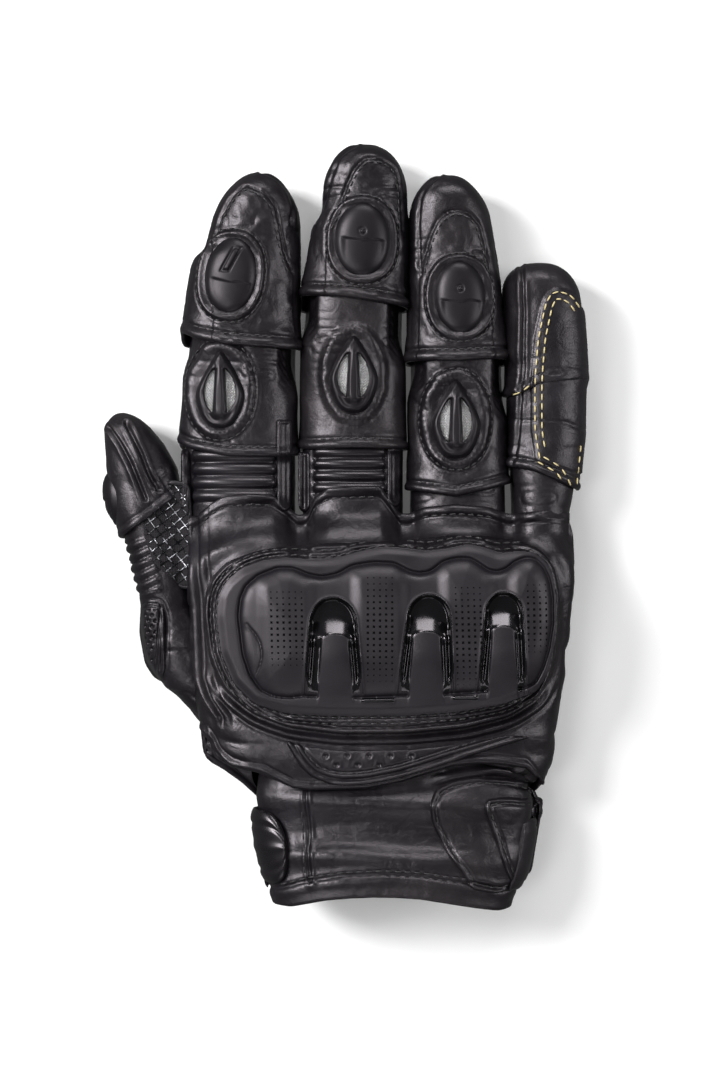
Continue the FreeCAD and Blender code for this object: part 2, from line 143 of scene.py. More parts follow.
def line_distance(x, y, path, closed=False):
    """Distance from each point to a path in the plan view."""
    path = np.asarray(path, float)[:, :2]
    ends = np.roll(path, -1, 0) if closed else path[1:]
    starts = path if closed else path[:-1]
    best = np.full(np.shape(x), 1e9)
    for (ax, ay), (bx, by) in zip(starts, ends):
        dx, dy = bx - ax, by - ay
        t = np.clip(((x - ax) * dx + (y - ay) * dy) / max(dx * dx + dy * dy, 1e-9), 0, 1)
        best = np.minimum(best, (x - ax - t * dx) ** 2 + (y - ay - t * dy) ** 2)
    return np.sqrt(best)


def inside_distance(x, y, loop):
    """Signed distance to a closed outline in the plan view: positive inside."""
    loop = np.asarray(loop, float)
    inside = np.zeros(np.shape(x), bool)
    for (ax, ay), (bx, by) in zip(loop, np.roll(loop, -1, 0)):
        if ay != by:
            crosses = (ay > y) != (by > y)
            inside ^= crosses & (x < (bx - ax) * (y - ay) / (by - ay) + ax)
    return np.where(inside, 1, -1) * line_distance(x, y, loop, True)


def bump(d, width):
    """1 at d = 0, falling away evenly on both sides."""
    return np.exp(-((d / width) ** 2))


def profile(d, *bumps):
    """Sum of bumps across a line or an edge. d is the distance from it, bumps are (height, place, width)."""
    return sum(height * bump(d - at, width) for height, at, width in bumps)


def smooth_line(points, step=0.8):
    """Points of a rounded open path."""
    return smooth_loop(points, step, closed=False)


def closed_ring(loop):
    """A loop with its first point repeated at the end."""
    return np.vstack([loop, loop[:1]])


def flat_noise(x, y, size, along=0.0):
    """Smooth noise over the plan."""
    return noise(np.stack([x, y, x * 0 + along], axis=-1), size)


def unit(v):
    """Vectors scaled to length 1."""
    return v / np.maximum(np.linalg.norm(v, axis=-1, keepdims=True), 1e-9)


def true_runs(flags):
    """Start and end of each stretch of True values."""
    edges = np.flatnonzero(np.diff(np.concatenate([[0], flags.astype(int), [0]])))
    return zip(edges[::2], edges[1::2])


def ellipse(cx, cy, half_x, half_y, lean=0.0, count=48, power=2.0):
    """Points of an upright oval. lean turns it clockwise, in degrees. A power over 2 squares it."""
    a = np.linspace(0, 2 * math.pi, count, endpoint=False)
    x = half_x * np.sign(np.cos(a)) * np.abs(np.cos(a)) ** (2 / power)
    y = half_y * np.sign(np.sin(a)) * np.abs(np.sin(a)) ** (2 / power)
    c, s = math.cos(math.radians(lean)), math.sin(math.radians(lean))
    return np.stack([cx + x * c + y * s, cy - x * s + y * c], axis=1)


# ---------------------------------------------------------------- meshes


def new_object(name, verts, faces, materials, face_material=None, smooth=True):
    """Mesh object from points in millimetres and faces as lists or as an array of corners."""
    mesh = bpy.data.meshes.new(name)
    faces = faces if isinstance(faces, list) else faces.tolist()
    mesh.from_pydata((np.reshape(verts, (-1, 3)) * MM).tolist(), [], faces)
    for m in materials if isinstance(materials, (list, tuple)) else [materials]:
        mesh.materials.append(m)
    if face_material is not None:
        mesh.polygons.foreach_set("material_index", np.asarray(face_material, np.int32))
    mesh.polygons.foreach_set("use_smooth", np.full(len(mesh.polygons), smooth))
    mesh.update()
    obj = bpy.data.objects.new(name, mesh)
    bpy.context.scene.collection.objects.link(obj)
    return obj


def grid_faces(rows, columns, wrap):
    """Quads of a grid of points, rows by columns. wrap joins the last column to the first."""
    r, c = np.meshgrid(np.arange(rows - 1), np.arange(columns if wrap else columns - 1), indexing="ij")
    n = (c + 1) % columns
    corners = [r * columns + c, r * columns + n, (r + 1) * columns + n, (r + 1) * columns + c]
    return np.stack(corners, axis=-1).reshape(-1, 4)


def outward_normals(p):
    """Normals of a tube of points, rows by columns round it, pointing out."""
    n = unit(np.cross(np.roll(p, -1, 1) - np.roll(p, 1, 1), np.gradient(p, axis=0)))
    return n * np.sign(np.sum((p - p.mean(axis=1, keepdims=True)) * n, axis=-1, keepdims=True).mean())


def weld(obj, distance=0.02):
    """Joins points that are closer than distance, and turns the faces outward."""
    bm = bmesh.new()
    bm.from_mesh(obj.data)
    bmesh.ops.remove_doubles(bm, verts=bm.verts, dist=distance * MM)
    bmesh.ops.recalc_face_normals(bm, faces=bm.faces)
    bm.to_mesh(obj.data)
    bm.free()
    return obj


def tree_of(*objects):
    """Ray-casting tree of the objects' meshes, in millimetres."""
    verts, faces = [], []
    for o in objects:
        start = len(verts)
        verts += [v.co / MM for v in o.data.vertices]
        faces += [[start + i for i in p.vertices] for p in o.data.polygons]
    return BVHTree.FromPolygons(verts, faces)


def drop(tree, x, y, fallback=20.0):
    """Height of the surface seen from above at each plan position. fallback is used where there is none."""
    flat_x, flat_y = np.ravel(x), np.ravel(y)
    out = np.full(flat_x.shape, np.nan)
    down = Vector((0, 0, -1))
    for i, (a, b) in enumerate(zip(flat_x, flat_y)):
        hit = tree.ray_cast(Vector((a, b, ABOVE_ALL)), down)
        if hit[0] is not None:
            out[i] = hit[0].z
    out[np.isnan(out)] = fallback
    return out.reshape(np.shape(x))


# an edge rolled under: steps along the leather and out of it
ROLLED = [(0.45, -0.35), (0.6, -0.95), (0.1, -1.5), (-2.5, -1.7)]


class Tube:
    """Closed sleeve along Y. rows are (y, left, right, bottom, top).

    tip is (end, length seen from above, length seen from the side, power) and closes the sleeve. turn carries
    points from the tube's own frame. soft is how much the rows are evened out.
    """

    def __init__(self, rows, around=150, power=(2.5, 3.0), tip=None, soft=6, turn=None):
        rows = np.array(rows, float)
        self.y = np.arange(rows[0, 0], rows[-1, 0] + 0.5, 0.5)
        self.rows = [soften(np.interp(self.y, rows[:, 0], rows[:, k]), soft) for k in range(1, 5)]
        self.tip = tip
        self.turn = turn
        mid = rows[len(rows) // 2]
        w, h = (mid[2] - mid[1]) / 2, (mid[4] - mid[3]) / 2
        a = np.linspace(-math.pi / 2, 1.5 * math.pi, 4001)
        c, s = self._shape(a, power)
        run = np.concatenate([[0], np.cumsum(np.hypot(np.diff(w * c), np.diff(h * s)))])
        at = np.linspace(0, 1, around, endpoint=False)
        at = at + 0.4 * np.sin(2 * math.pi * at) / (2 * math.pi)
        self.c, self.s = self._shape(np.interp(at * run[-1], run, a), power)

    @staticmethod
    def _shape(a, power):
        c, s = np.cos(a), np.sin(a)
        n = np.where(s > 0, power[0], power[1])
        return np.sign(c) * np.abs(c) ** (2 / n), np.sign(s) * np.abs(s) ** (2 / n)

    def points(self, y, grow=0.0):
        """Grid of points at y, which is rows, or rows by columns. grow is added outward."""
        y = np.asarray(y, float)
        if y.ndim == 1:
            y = np.repeat(y[:, None], len(self.c), axis=1)
        left, right, bottom, top = (np.interp(y, self.y, r) for r in self.rows)
        w, h = (right - left) / 2, (top - bottom) / 2
        if self.tip:
            end, long_x, long_z, p = self.tip
            sx = np.clip((y - end + long_x) / long_x, 0, 1)
            sz = np.clip((y - end + long_z) / long_z, 0, 1)
            w = w * np.maximum(1 - sx**p, 0) ** (1 / p)
            h = h * np.maximum(1 - sz**p, 0) ** (1 / p)
        grown = np.asarray(grow) * np.minimum(1, np.minimum(w, h) / 3)
        x = (left + right) / 2 + (w + grown) * self.c
        z = (bottom + top) / 2 + (h + grown) * self.s
        out = np.stack([x, y, z], axis=-1)
        if self.turn:
            out = self.turn(out)
        return out


def sleeve(name, tube, y, material, relief, grow=0.0, hem=(0, 0)):
    """Skin of a tube with relief(points, normals) along the normals. hem rolls its first and last edge."""
    p = tube.points(y, grow)
    n = outward_normals(p)
    p = p + n * relief(p, n)[..., None]
    back, along = unit(p[0] - p[1]), unit(p[-1] - p[-2])
    first, last = hem
    if last:
        p = np.concatenate([p] + [(p[-1] + along * a * last + n[-1] * b * last)[None] for a, b in ROLLED])
    if first:
        extra = [(p[0] + back * a * first + n[0] * b * first)[None] for a, b in reversed(ROLLED)]
        p = np.concatenate(extra + [p])
    return weld(new_object(name, p, grid_faces(*p.shape[:2], True), material))


def plan_grid(outline, low, high, step):
    """Grid over a plan outline: positions, distance inside, kept points, and the corners of each quad.

    The first points outside are pulled onto the outline, so that the rim is smooth.
    """
    x, y = np.meshgrid(np.arange(low[0], high[0], step), np.arange(low[1], high[1], step))
    d = inside_distance(x, y, outline)
    gx, gy = np.gradient(d, step)[::-1]
    keep = d > -1.5 * step
    near = (d < 0) & keep
    x, y = np.where(near, x - d * gx, x), np.where(near, y - d * gy, y)
    number = np.cumsum(keep.ravel()).reshape(x.shape) - 1
    corners = np.stack([number[:-1, :-1], number[:-1, 1:], number[1:, 1:], number[1:, :-1]], axis=-1)
    quads = keep[:-1, :-1] & keep[:-1, 1:] & keep[1:, 1:] & keep[1:, :-1]
    return x, y, np.maximum(d, 0), keep, quads, corners


def relief_patch(
    name, tree, outline, height, materials, pick=None, step=0.35, sink=1.2, hole=None, fallback=20.0, calm=0
):
    """Raised panel: a fine grid inside a plan outline, standing height(x, y, d) above the surface under it.

    d is the distance inside the outline. The rim is sunk below the surface. hole(x, y) is where faces are
    left out. fallback is the height where there is no surface. calm evens out the surface under the panel.
    """
    outline = np.asarray(outline, float)
    low, high = outline.min(0) - step, outline.max(0) + 2 * step
    x, y, d, keep, quads, corners = plan_grid(outline, low, high, step)
    base = np.full(x.shape, fallback)
    base[keep] = drop(tree, x[keep], y[keep], fallback)
    weight = keep.astype(float)
    for _ in range(calm):
        for axis in (0, 1):
            total, share = (
                np.roll(v, -1, axis) + 2 * v + np.roll(v, 1, axis) for v in (base * weight, weight)
            )
            base = np.where(keep, total / np.maximum(share, 1e-9), base)
    z = base + np.where(d <= 0, -sink, height(x, y, d))
    cx, cy = (x[:-1, :-1] + x[1:, 1:]) / 2, (y[:-1, :-1] + y[1:, 1:]) / 2
    if hole is not None:
        quads &= ~hole(cx, cy)
    which = pick(cx, cy)[quads] if pick is not None else None
    return new_object(name, np.stack([x, y, z], axis=-1)[keep], corners[quads], materials, which)


def add_cord(verts, faces, centres, side, up, radii, sides):
    """Adds a closed round cord: its centre line, two directions across it and the radius at each ring."""
    start = len(verts)
    for p, s, u, radius in zip(centres, side, up, radii):
        for k in range(sides):
            t = 2 * math.pi * k / sides
            verts.append(p + (s * math.cos(t) + u * math.sin(t)) * radius)
    faces += (grid_faces(len(centres), sides, True) + start).tolist()
    faces.append([start + k for k in reversed(range(sides))])
    faces.append([start + (len(centres) - 1) * sides + k for k in range(sides)])


def thread(name, tree, paths, material, length=2.0, gap=0.8, width=0.45, lift=0.15, rise=0.25):
    """Sewn thread: short rounded stitches along plan paths that lie on the surface."""
    verts, faces = [], []
    along, fat = np.array([-1.0, -0.7, 0.0, 0.7, 1.0]), np.array([0.25, 0.8, 1.0, 0.8, 0.25])
    for path in paths:
        path = np.asarray(path, float)
        run = np.concatenate([[0], np.cumsum(np.linalg.norm(np.diff(path[:, :2], axis=0), axis=1))])
        count = max(1, int(run[-1] / (length + gap)))
        for at in (np.arange(count) + 0.5) * run[-1] / count:
            x, y = (np.interp((at - length / 2, at + length / 2), run, path[:, k]) for k in (0, 1))
            a, b = np.stack([x, y, drop(tree, x, y, np.nan) + lift], axis=1)
            if np.isnan(a[2] + b[2]):
                continue
            axis = unit(b - a)
            side = unit(np.cross(axis, (0, 0, 1.0)))
            up = np.cross(side, axis)
            half = np.linalg.norm(b - a) / 2
            centres = [(a + b) / 2 + axis * s * half + up * (1 - s * s) * rise for s in along]
            add_cord(verts, faces, centres, [side] * 5, [up] * 5, width / 2 * fat, 6)
    return new_object(name, verts, faces, material)


def cords(name, paths, radius, material, sides=6):
    """Round cords along 3-D paths, as one mesh."""
    verts, faces = [], []
    for path in paths:
        tangent = unit(np.gradient(path, axis=0))
        side = unit(np.cross(tangent, (0, 0, 1.0)))
        add_cord(verts, faces, path, side, np.cross(side, tangent), [radius] * len(path), sides)
    return new_object(name, verts, faces, material)


# ---------------------------------------------------------------- materials


BLACK_SHEEN = (1.0, 0.93, 0.99, 1)  # dyed black leather and plastic shine slightly violet


def material(name, colour, roughness, **extra):
    m = bpy.data.materials.new(name)
    m.use_nodes = True
    shader = m.node_tree.nodes["Principled BSDF"]
    shader.inputs["Base Color"].default_value = (*colour, 1)
    shader.inputs["Roughness"].default_value = roughness
    shader.inputs["Specular Tint"].default_value = BLACK_SHEEN
    for key, value in extra.items():
        shader.inputs[key.replace("_", " ")].default_value = value
    return m, shader, m.node_tree


def node(tree, kind, inputs=None, **props):
    n = tree.nodes.new(kind)
    for k, v in props.items():
        setattr(n, k, v)
    for k, v in (inputs or {}).items():
        if isinstance(v, bpy.types.NodeSocket):
            tree.links.new(v, n.inputs[k])
        else:
            n.inputs[k].default_value = v
    return n


def math_node(tree, operation, a, b):
    return node(tree, "ShaderNodeMath", {0: a, 1: b}, operation=operation).outputs[0]


def coords(tree):
    return node(tree, "ShaderNodeTexCoord").outputs["Object"]


def noise_node(tree, vector, scale, detail=2.0, **extra):
    inputs = {"Vector": vector, "Scale": scale, "Detail": detail, **extra}
    return node(tree, "ShaderNodeTexNoise", inputs).outputs["Fac"]


def bump_node(tree, strength, distance, height, **extra):
    return node(
        tree, "ShaderNodeBump", {"Strength": strength, "Distance": distance, "Height": height, **extra}
    ).outputs[0]


def mix_colour(tree, factor, a, b):
    a, b = (v if isinstance(v, bpy.types.NodeSocket) else (*v, 1) for v in (a, b))
    return node(tree, "ShaderNodeMix", {0: factor, 6: a, 7: b}, data_type="RGBA").outputs[2]


def scaled(colour, *by):
    """A colour multiplied by one number, or by one per channel."""
    return tuple(v * k for v, k in zip(colour, by * 3 if len(by) == 1 else by))


def ramp(tree, value, low, high, out_low=0.0, out_high=1.0):
    limits = {"From Min": low, "From Max": high, "To Min": out_low, "To Max": out_high}
    return node(tree, "ShaderNodeMapRange", {"Value": value, **limits}).outputs[0]


def leather(
    name, dark=(0.0030, 0.0024, 0.0034), light=(0.0092, 0.0078, 0.0096), shine=0.34, grain=1.0, crease=1.0
):
    """Drum-dyed cowhide: fine pebbled grain, soft creases, and handling wear that warms the high spots."""
    m, shader, t = material(name, dark, shine)
    shader.inputs["Specular IOR Level"].default_value = 0.5
    c = coords(t)
    pebble = node(t, "ShaderNodeTexVoronoi", {"Vector": c, "Scale": 2600.0}, feature="F1").outputs["Distance"]
    edges = {"Vector": c, "Scale": 2300.0}
    cells = node(t, "ShaderNodeTexVoronoi", edges, feature="DISTANCE_TO_EDGE").outputs["Distance"]
    fine = noise_node(t, c, 3000.0, 3.0, Roughness=0.6)
    patches = noise_node(t, c, 48.0, 5.0, Roughness=0.6)
    folds = noise_node(t, c, 200.0, 5.0, Roughness=0.55, Distortion=0.6)
    warm = ramp(t, noise_node(t, c, 21.0), 0.42, 0.6)
    tint = mix_colour(t, warm, scaled(light, 0.92, 0.95, 1.08), scaled(light, 1.06, 1.02, 0.96))
    colour = mix_colour(t, ramp(t, patches, 0.40, 0.68), dark, tint)
    colour = mix_colour(t, ramp(t, fine, 0.56, 0.72, 0.0, 0.4), colour, scaled(light, 2.2, 2.0, 2.0))
    t.links.new(colour, shader.inputs["Base Color"])
    handled = ramp(t, patches, 0.3, 0.75, shine - 0.03, shine + 0.09)
    rough = math_node(t, "ADD", handled, ramp(t, fine, 0.3, 0.7, -0.05, 0.07))
    t.links.new(rough, shader.inputs["Roughness"])
    height = math_node(t, "MULTIPLY", ramp(t, cells, 0.0, 0.3), 0.3)
    for value, amount in ((pebble, -0.45), (fine, 0.6)):
        height = math_node(t, "ADD", height, math_node(t, "MULTIPLY", value, amount))
    grained = bump_node(t, 0.38 * grain, 0.00009, height)
    t.links.new(bump_node(t, 0.6 * crease, 0.0005, folds, Normal=grained), shader.inputs["Normal"])
    return m


def plastic(name, colour, rough, speckle=0.12, scratches=0.1, specular=0.5):
    """Injection moulding: spark-eroded texture and light handling marks."""
    m, shader, t = material(name, colour, rough)
    shader.inputs["Specular IOR Level"].default_value = specular
    c = coords(t)
    fine = noise_node(t, c, 3200.0)
    broad = noise_node(t, c, 90.0, 4.0)
    t.links.new(
        mix_colour(t, ramp(t, broad, 0.35, 0.7), colour, scaled(colour, 1.35)),
        shader.inputs["Base Color"],
    )
    handled = ramp(t, broad, 0.3, 0.7, rough - 0.04, rough + 0.05)
    rough = math_node(t, "ADD", handled, ramp(t, fine, 0.3, 0.7, -0.03, 0.03))
    t.links.new(rough, shader.inputs["Roughness"])
    stretch = {"Vector": c, "Scale": (1.0, 14.0, 1.0), "Rotation": (0, 0, 0.5)}
    marks = noise_node(t, node(t, "ShaderNodeMapping", stretch).outputs[0], 160.0, 5.0, Roughness=0.7)
    marks = math_node(t, "MULTIPLY", ramp(t, marks, 0.62, 0.75), -scratches * 10)
    height = math_node(t, "ADD", math_node(t, "MULTIPLY", fine, 1.0), marks)
    t.links.new(bump_node(t, speckle, 0.0001, height), shader.inputs["Normal"])
    return m


def thread_material(name, colour, rough=0.55):
    m, shader, t = material(name, colour, rough)
    fine = noise_node(t, coords(t), 2500.0)
    t.links.new(
        mix_colour(t, ramp(t, fine, 0.3, 0.7), scaled(colour, 0.7), colour), shader.inputs["Base Color"]
    )
    t.links.new(bump_node(t, 0.3, 0.0002, fine), shader.inputs["Normal"])
    shader.inputs["Sheen Weight"].default_value = 0.2
    return m


def knit(name, colour, scale=900.0, rough=0.85, sheen=0.3):
    """Lining or stretch cloth: crossing yarns."""
    m, shader, t = material(name, colour, rough)
    yarn = {"Vector": coords(t), "Scale": scale, "Distortion": 1.0, "Detail": 1.0}
    waves = [node(t, "ShaderNodeTexWave", yarn, bands_direction=d).outputs["Fac"] for d in ("X", "Y")]
    height = math_node(t, "MULTIPLY", *waves)
    t.links.new(
        mix_colour(t, height, scaled(colour, 0.5), scaled(colour, 1.5)), shader.inputs["Base Color"]
    )
    t.links.new(bump_node(t, 0.6, 0.0004, height), shader.inputs["Normal"])
    shader.inputs["Sheen Weight"].default_value = sheen
    return m


def worn_metal(name, colour, rough, scale, worn, light, dark):
    """Bright metal that wears darker in patches. worn is the noise range of the wear."""
    m, shader, t = material(name, colour, rough, Metallic=0.8)
    wear = noise_node(t, coords(t), scale, 3.0)
    t.links.new(mix_colour(t, ramp(t, wear, *worn), light, dark), shader.inputs["Base Color"])
    return m, shader, t, wear


LEATHER = leather("black_leather")
LEATHER_SATIN = leather("black_leather_satin", shine=0.30, grain=0.55, crease=0.7)
LEATHER_PALM = leather("palm_leather", shine=0.46, grain=0.8, crease=0.5)
LEATHER_DARK = leather("edge_leather", (0.003, 0.0028, 0.0034), (0.008, 0.0075, 0.0085), 0.42, 0.8)
RIB_LEATHER = leather("rib_leather", shine=0.30, grain=0.25, crease=0.25)
GUARD = plastic("guard_plastic", (0.0070, 0.0060, 0.0080), 0.43, specular=0.45)
SLIDER = plastic("slider_plastic", (0.0040, 0.0034, 0.0046), 0.40, specular=0.34)
DOTS = plastic("dot_plastic", (0.0006, 0.0006, 0.0007), 0.62, specular=0.05)
GLOSS = plastic("gloss_plastic", (0.002, 0.002, 0.0024), 0.13, speckle=0.02, scratches=0.02)
TAB = plastic("tab_plastic", (0.004, 0.0036, 0.0044), 0.30, speckle=0.05)
THREAD = thread_material("black_thread", (0.011, 0.010, 0.011), 0.42)
CREAM = thread_material("cream_thread", (0.72, 0.60, 0.30), 0.5)
LINING = knit("lining", (0.022, 0.022, 0.024))
MESH_CLOTH = knit("mesh_cloth", (0.0035, 0.0035, 0.0042), 600.0, 0.8, sheen=0.0)
HOOK = knit("hook_and_loop", (0.012, 0.012, 0.012), 500.0, 0.95)
FOAM = knit("foam", (0.018, 0.018, 0.018), 1500.0, 0.95)
STEEL, _shader, _nodes, _wear = worn_metal(
    "wire_mesh", (0.62, 0.62, 0.64), 0.28, 900.0, (0.4, 0.7), (0.88, 0.88, 0.90), (0.52, 0.51, 0.51)
)
_nodes.links.new(ramp(_nodes, _wear, 0.3, 0.7, 0.2, 0.42), _shader.inputs["Roughness"])
SILVER = worn_metal(
    "silver_thread", (0.55, 0.56, 0.60), 0.3, 420.0, (0.50, 0.58), (0.010, 0.010, 0.012), (0.46, 0.46, 0.50)
)[0]

PIECES = []  # object, how it moves, slot, CAD nodes it replaces


def ride(obj, body, slot, *nodes):
    PIECES.append((obj, ("ride", body), slot, nodes))
    return obj


def blend(obj, a, b, start, end, slot, *nodes):
    PIECES.append((obj, ("blend", a, b, start, end), slot, nodes))
    return obj


# ---------------------------------------------------------------- where things are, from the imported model


def box_mm(*names):
    low = np.min([np.array(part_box(n)[0]) for n in names], axis=0) / MM
    high = np.max([np.array(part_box(n)[1]) for n in names], axis=0) / MM
    return low, high


def hinge(name):
    joint = next(j for j in frame["joints"] if j["name"] == name)
    return np.array(joint["pos_m"]) / MM


FINGER_NAMES = ("index", "middle", "ring", "little")
# how far the leather bends on each side of a joint, along the finger, the thumb or the wrist
KNUCKLE_REACH, MIDDLE_REACH, THUMB_REACH, WRIST_REACH = 9, 8.5, 8.2, 7.5
FOLD = {}  # name: where the folds at the knuckle and at the middle joint start and end along Y
for _name in FINGER_NAMES:
    _knuckle, _middle = hinge(_name + "_knuckle")[1], hinge(_name + "_middle_joint")[1]
    FOLD[_name] = (
        (_knuckle - KNUCKLE_REACH, _knuckle + KNUCKLE_REACH), (_middle - MIDDLE_REACH, _middle + MIDDLE_REACH)
    )
WRIST = hinge("wrist_bend")[1]
WRIST_FOLD = [(0.014, (WRIST + side) * MM, 0.0185) for side in (WRIST_REACH, -WRIST_REACH)]  # metres
THUMB_ROOT = hinge("thumb_base")
THUMB_IP = hinge("thumb_tip_joint")
THUMB_V = unit(THUMB_IP[:2] - THUMB_ROOT[:2])
THUMB_U = np.array([THUMB_V[1], -THUMB_V[0]])
FINGER_TOP = box_mm("index_lower_sleeve")[1][2]
HAND_TOP = box_mm("back_panel")[1][2]
GUARD_TOP = box_mm("guard_shell")[1][2]
FLOOR = box_mm("palm_panel")[0][2]


def fold_ends(name, fold):
    """Start and end of a fold on a finger's centre line, in metres."""
    x, _, z = hinge(name + "_knuckle")
    return [(x * MM, y * MM, z * MM) for y in fold]


def on_thumb(p):
    """From the thumb's own frame, across and along, to the row frame."""
    q = p.copy()
    q[..., :2] = THUMB_ROOT[:2] + p[..., :1] * THUMB_U + p[..., 1:2] * THUMB_V
    return q


def to_thumb(p):
    """Across and along, in the thumb's own frame, from positions in the row frame."""
    d = np.asarray(p, float)[..., :2] - THUMB_ROOT[:2]
    return d @ THUMB_U, d @ THUMB_V


def thumb_path(points):
    """Plan points, carried to the thumb's own frame."""
    return np.stack(to_thumb(points), axis=-1)


# ---------------------------------------------------------------- fingers

EDGES = {  # y: left, right
    "index": [
        (-14, -50.4, -15.6),
        (20, -51.0, -15.7),
        (27, -52.6, -15.9),
        (40, -52.2, -15.8),
        (55, -51.4, -15.4),
        (71, -50.7, -15.2),
        (80.5, -49.2, -15.2),
        (84.5, -47.6, -15.2),
        (87, -44.4, -15.2),
        (93, -43.0, -15.3),
        (103, -40.6, -16.0),
        (111, -38.4, -17.0),
    ],
    "middle": [
        (-14, -14.9, 18.2),
        (60, -14.9, 18.4),
        (75, -13.8, 18.6),
        (81, -12.8, 19.0),
        (93, -10.9, 19.2),
        (96, -9.2, 19.0),
        (99, -7.6, 18.6),
        (107, -7.2, 18.2),
        (121, -6.2, 17.4),
    ],
    "ring": [
        (-14, 19.0, 50.6),
        (45, 18.9, 50.2),
        (60, 19.0, 49.4),
        (76, 19.2, 48.0),
        (97, 19.8, 44.6),
        (111, 21.4, 41.0),
    ],
    "little": [
        (-14, 51.0, 70.4), (4, 51.0, 70.6), (14, 50.6, 72.6), (28, 50.4, 74.4), (52, 50.2, 74.8),
        (68, 49.6, 73.6), (82, 48.9, 71.0),
    ],
}
TIPS = {
    "index": (110.9, 17.0, 9.0, 2.1),
    "middle": (119.9, 15.0, 9.0, 2.1),
    "ring": (110.1, 13.5, 9.0, 2.2),
    "little": (82.4, 10.5, 9.0, 2.3),
}
HEMS = {  # the proximal panel's lower hem, then the middle panel's hem over the middle joint
    "index": (
        [(-54.2, 27.2), (-48.4, 24.1), (-37.5, 21.8), (-20, 21.6), (-15, 22.4)],
        [(-54, 62.4), (-47, 58.6), (-37.5, 56.4), (-20.8, 55.3), (-14, 55.2)],
    ),
    "middle": (
        [(-16, 24.6), (-10.6, 24), (2, 24.4), (18, 24), (20, 24.2)],
        [(-15, 72.4), (2.4, 70.9), (17.6, 68.4), (20, 68)],
    ),
    "ring": (
        [(18, 11.5), (24, 10.6), (33.7, 9.2), (44, 11.5), (51, 13.6)],
        [(18, 51.6), (34, 51.4), (50, 52.4)],
    ),
    "little": (
        [(50, 19.0), (57.4, 17.4), (66, 14), (75, 10)], [(49, 40.6), (53.8, 41), (60, 44.5), (75, 46)]
    ),
}

BASE = {}
for _name in FINGER_NAMES:
    _rows = [(y, left, right, FLOOR, FINGER_TOP) for y, left, right in EDGES[_name]]
    BASE[_name] = Tube(_rows, around=190, power=(2.35, 3.0), tip=TIPS[_name])


def up_weight(n):
    """1 where the surface faces up, 0 on the palm's side."""
    return smoothstep(-0.1, 0.35, n[..., 2])


def groove(x, y, path, width=0.55, depth=0.7, lips=0.35):
    """Seam pulled into the leather, with a puckered lip on each side."""
    d = line_distance(x, y, path)
    return -depth * bump(d, width) + lips * bump(d - width * 2.2, width * 1.4)


def skin(points, amount=0.22, size=7.0):
    """Slack and fine folds that every stretch of worn leather has."""
    broad = noise(points, size)
    fine = noise(points + 37.0, (size * 0.28, size * 0.42, size * 0.4))
    fold = creases(points + 11.0, (size * 1.5, size * 0.8, size * 1.5), 6.0)
    return amount * (0.9 * broad + 0.25 * fine - 0.4 * fold)


def hem_rows(tube, first, last, first_low, last_low, step=0.52):
    """Rows of y per column: the edges follow plan curves on top and straight lines underneath."""
    top = smoothstep(-0.55, 0.25, tube.s)

    def edge(curve, flat):
        if not callable(curve):
            return np.full(len(tube.c), float(curve))
        y = np.full(len(tube.c), float(flat))
        for _ in range(3):
            row = tube.points(y[None, :])[0]
            y = curve(row[:, 0] if tube.turn is None else tube_x(tube, y)) * top + flat * (1 - top)
        return y

    a, b = edge(first, first_low), edge(last, last_low)
    count = int(np.max(b - a) / step) + 2
    t = np.linspace(0, 1, count)[:, None]
    return a * (1 - t) + b * t


def tip_rows(tube, first, first_low, step=0.52):
    """Rows up to the tip, closer together where the end rounds off."""
    end, rounded = tube.tip[0], tube.tip[2]
    rows = hem_rows(tube, first, end - rounded, first_low, end - rounded, step)
    rest = end - rounded * (1 - np.sin(np.linspace(0, math.pi / 2, 26)[1:]))
    rest[-1] = end
    return np.concatenate([rows, np.repeat(rest[:, None], rows.shape[1], axis=1)])


def tube_x(tube, y):
    """Across position in the tube's own frame."""
    left, right = np.interp(y, tube.y, tube.rows[0]), np.interp(y, tube.y, tube.rows[1])
    return (left + right) / 2 + (right - left) / 2 * tube.c


SLIDER_AT, VENT_AT = (
    {n: sum(box_mm(n + part))[:2] / 2 for n in FINGER_NAMES[:3]} for part in ("_slider", "_vent_cap")
)
SLIDER_SIZE = {"index": (8.3, 12.0, 6.0), "middle": (8.9, 11.6, 0.0), "ring": (8.3, 11.4, -2.0)}
RING_SIZE = {"index": (10.4, 14.2, 7.0), "middle": (10.8, 13.6, 0.0), "ring": (10.4, 13.4, -2.0)}
ARCHES = {
    "index": [
        (-41.5, 91), (-39.8, 96.5), (-36.5, 102), (-32, 106.2), (-26, 103.4), (-22, 99.2), (-20.8, 92.3),
        (-18.9, 83.4), (-17, 79),
    ],
    "middle": [
        (-6.5, 92), (-2.6, 99.7), (-0.5, 105.5), (2, 110.5), (5.5, 114.2), (11, 114.2), (15.6, 111.2),
        (17.2, 105), (17.6, 92),
    ],
    "ring": [
        (22.6, 78), (23.2, 82), (25.1, 88.5), (27.7, 94.3), (31, 97.2), (34.4, 98), (38.5, 96.8),
        (41.5, 93.6), (43.6, 86.3), (45, 79),
    ],
}
OUTER_SEAMS = {
    "index": [[(-27, 110.6), (-22, 108.3), (-18.3, 104.9), (-16.6, 99.7), (-17.4, 93.9)]],
    "middle": [[(3, 119), (-2.4, 115.4), (-5.4, 108), (-7.2, 101.0), (-10, 95)]],
    "ring": [[(29, 109.6), (25.4, 106.6), (22.8, 102.3), (22.0, 94), (22.2, 80.5)]],
}
CREAM_TURNS = ([(58.5, 19.9), (65.4, 16), (68.3, 10.4)], [(60.2, 21.4), (66.8, 17.6), (69.9, 11.6)])
